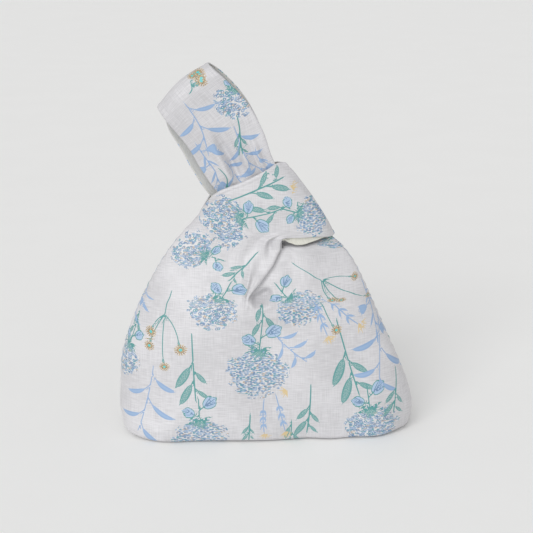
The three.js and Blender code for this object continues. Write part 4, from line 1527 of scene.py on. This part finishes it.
class KNOTBAG_OT_panels(Operator):
    """Build the two outer panels, each cut in one with its halves of both handles"""

    bl_idname = "knot_bag.panels"
    bl_label = "Outer panels"

    def execute(self, context):
        sizes, colours = context.scene.knot_bag_sizes, context.scene.knot_bag_colours
        figured = material_named("Figured satin", figured_material, colours)
        lining = material_named("Lining satin", lining_material, colours)
        for side, name, other in ((FRONT, "front_panel", "back_panel"), (BACK, "back_panel", "front_panel")):
            surface = panel_surface(side, sizes)
            mesh, source = sheet_mesh(f"{name}_cloth", surface, sizes.cloth / MM)
            for key, values in figures_for(side).attributes(surface["flat"]).items():
                data = mesh.attributes.new(key, "FLOAT_VECTOR", "POINT").data
                data.foreach_set("vector", values[source].astype(np.float32).ravel())
            piece = add_piece(f"{name}_cloth", mesh, (figured, lining), name)
        return {"FINISHED"}


class KNOTBAG_OT_linings(Operator):
    """Build the plain linings that show inside the two handle loops"""

    bl_idname = "knot_bag.linings"
    bl_label = "Linings"

    def execute(self, context):
        sizes, colours = context.scene.knot_bag_sizes, context.scene.knot_bag_colours
        lining = material_named("Lining satin", lining_material, colours)
        panels = {side: panel_surface(side, sizes) for side in (FRONT, BACK)}
        cloth = (sizes.cloth + sizes.layer_gap) / MM
        # The last number in each row is how far a lining is drawn in painted shade: 1 for the wrist loop's
        # lining.
        for name, handle, start, reach, flat, grey in (
            ("collar_lining", "collar", COLLAR_LINING_START, collar_reach, COLLAR_LINING_FLAT, 0.0),
            ("wrist_lining", "wrist", WRIST_LINING_START, wrist_reach, WRIST_LINING_FLAT, 1.0),
        ):
            surface = lining_surface(panels, handle, start, cloth, reach)
            mesh, _ = sheet_mesh(f"{name}_cloth", surface, sizes.lining / MM)
            greys = mesh.attributes.new("lining_in_painted_shade", "FLOAT", "POINT").data
            greys.foreach_set("value", np.full(len(mesh.vertices), grey, np.float32))
            piece = add_piece(f"{name}_cloth", mesh, (lining, lining), name)
        return {"FINISHED"}


class KNOTBAG_OT_stage(Operator):
    """Set up the pale floor, the soft light and the camera"""

    bl_idname = "knot_bag.stage"
    bl_label = "Floor, light and camera"

    def execute(self, context):
        scene, stage = context.scene, context.scene.knot_bag_stage
        corners = [(x * FLOOR_REACH, y * FLOOR_REACH, 0) for x, y in ((-1, -1), (1, -1), (1, 1), (-1, 1))]
        mesh = bpy.data.meshes.new("floor")
        mesh.from_pydata(corners, [], [(0, 1, 2, 3)])
        mesh.materials.append(floor_material(stage.floor))
        floor = bpy.data.objects.new("floor", mesh)
        scene.collection.objects.link(floor)

        light = bpy.data.lights.new("key", "SUN")
        light.energy = stage.key_power
        light.angle = stage.key_spread
        lamp = bpy.data.objects.new("key", light)
        lamp.location = KEY_LIGHT_FROM
        lamp.rotation_euler = (-KEY_LIGHT_FROM).to_track_quat("-Z", "Y").to_euler()
        scene.collection.objects.link(lamp)
        world = bpy.data.worlds.new("Studio")
        world.use_nodes = True
        background = world.node_tree.nodes["Background"]
        background.inputs["Color"].default_value = WHITE
        background.inputs["Strength"].default_value = stage.surround
        scene.world = world
        scene.view_settings.view_transform = "Standard"

        camera = bpy.data.objects.new("camera", bpy.data.cameras.new("camera"))
        camera.data.sensor_width = SENSOR_WIDTH
        camera.data.lens = stage.focal_length
        camera.data.clip_start = CLIP_START
        target = Vector((0, 0, stage.camera_height))
        back = Vector((0, -math.cos(stage.camera_angle), math.sin(stage.camera_angle)))
        camera.location = target + back * stage.camera_distance
        camera.rotation_euler = (-back).to_track_quat("-Z", "Y").to_euler()
        scene.collection.objects.link(camera)
        scene.camera = camera
        return {"FINISHED"}


class KNOTBAG_PT_sidebar(Panel):
    """Lists the steps that build the bag and their settings"""

    bl_idname = "KNOTBAG_PT_sidebar"
    bl_label = "Knot bag"
    bl_space_type = "VIEW_3D"
    bl_region_type = "UI"
    bl_category = "Knot bag"

    def draw(self, context):
        layout, scene = self.layout, context.scene
        for operator in OPERATORS:
            layout.operator(operator.bl_idname)
        for settings in (scene.knot_bag_sizes, scene.knot_bag_colours, scene.knot_bag_stage):
            box = layout.box()
            for name in settings.__annotations__:
                box.prop(settings, name)


OPERATORS = (KNOTBAG_OT_stage, KNOTBAG_OT_panels, KNOTBAG_OT_linings)
SETTINGS = {
    "knot_bag_sizes": KnotBagSizes,
    "knot_bag_colours": KnotBagColours,
    "knot_bag_stage": KnotBagStage,
}
CLASSES = (*SETTINGS.values(), *OPERATORS, KNOTBAG_PT_sidebar)


def register():
    for cls in CLASSES:
        bpy.utils.register_class(cls)
    for name, settings in SETTINGS.items():
        setattr(bpy.types.Scene, name, PointerProperty(type=settings))


def unregister():
    for name in SETTINGS:
        delattr(bpy.types.Scene, name)
    for cls in reversed(CLASSES):
        bpy.utils.unregister_class(cls)


def main():
    register()
    bpy.ops.knot_bag.stage()
    bpy.ops.knot_bag.panels()
    bpy.ops.knot_bag.linings()


if __name__ == "__main__":
    main()
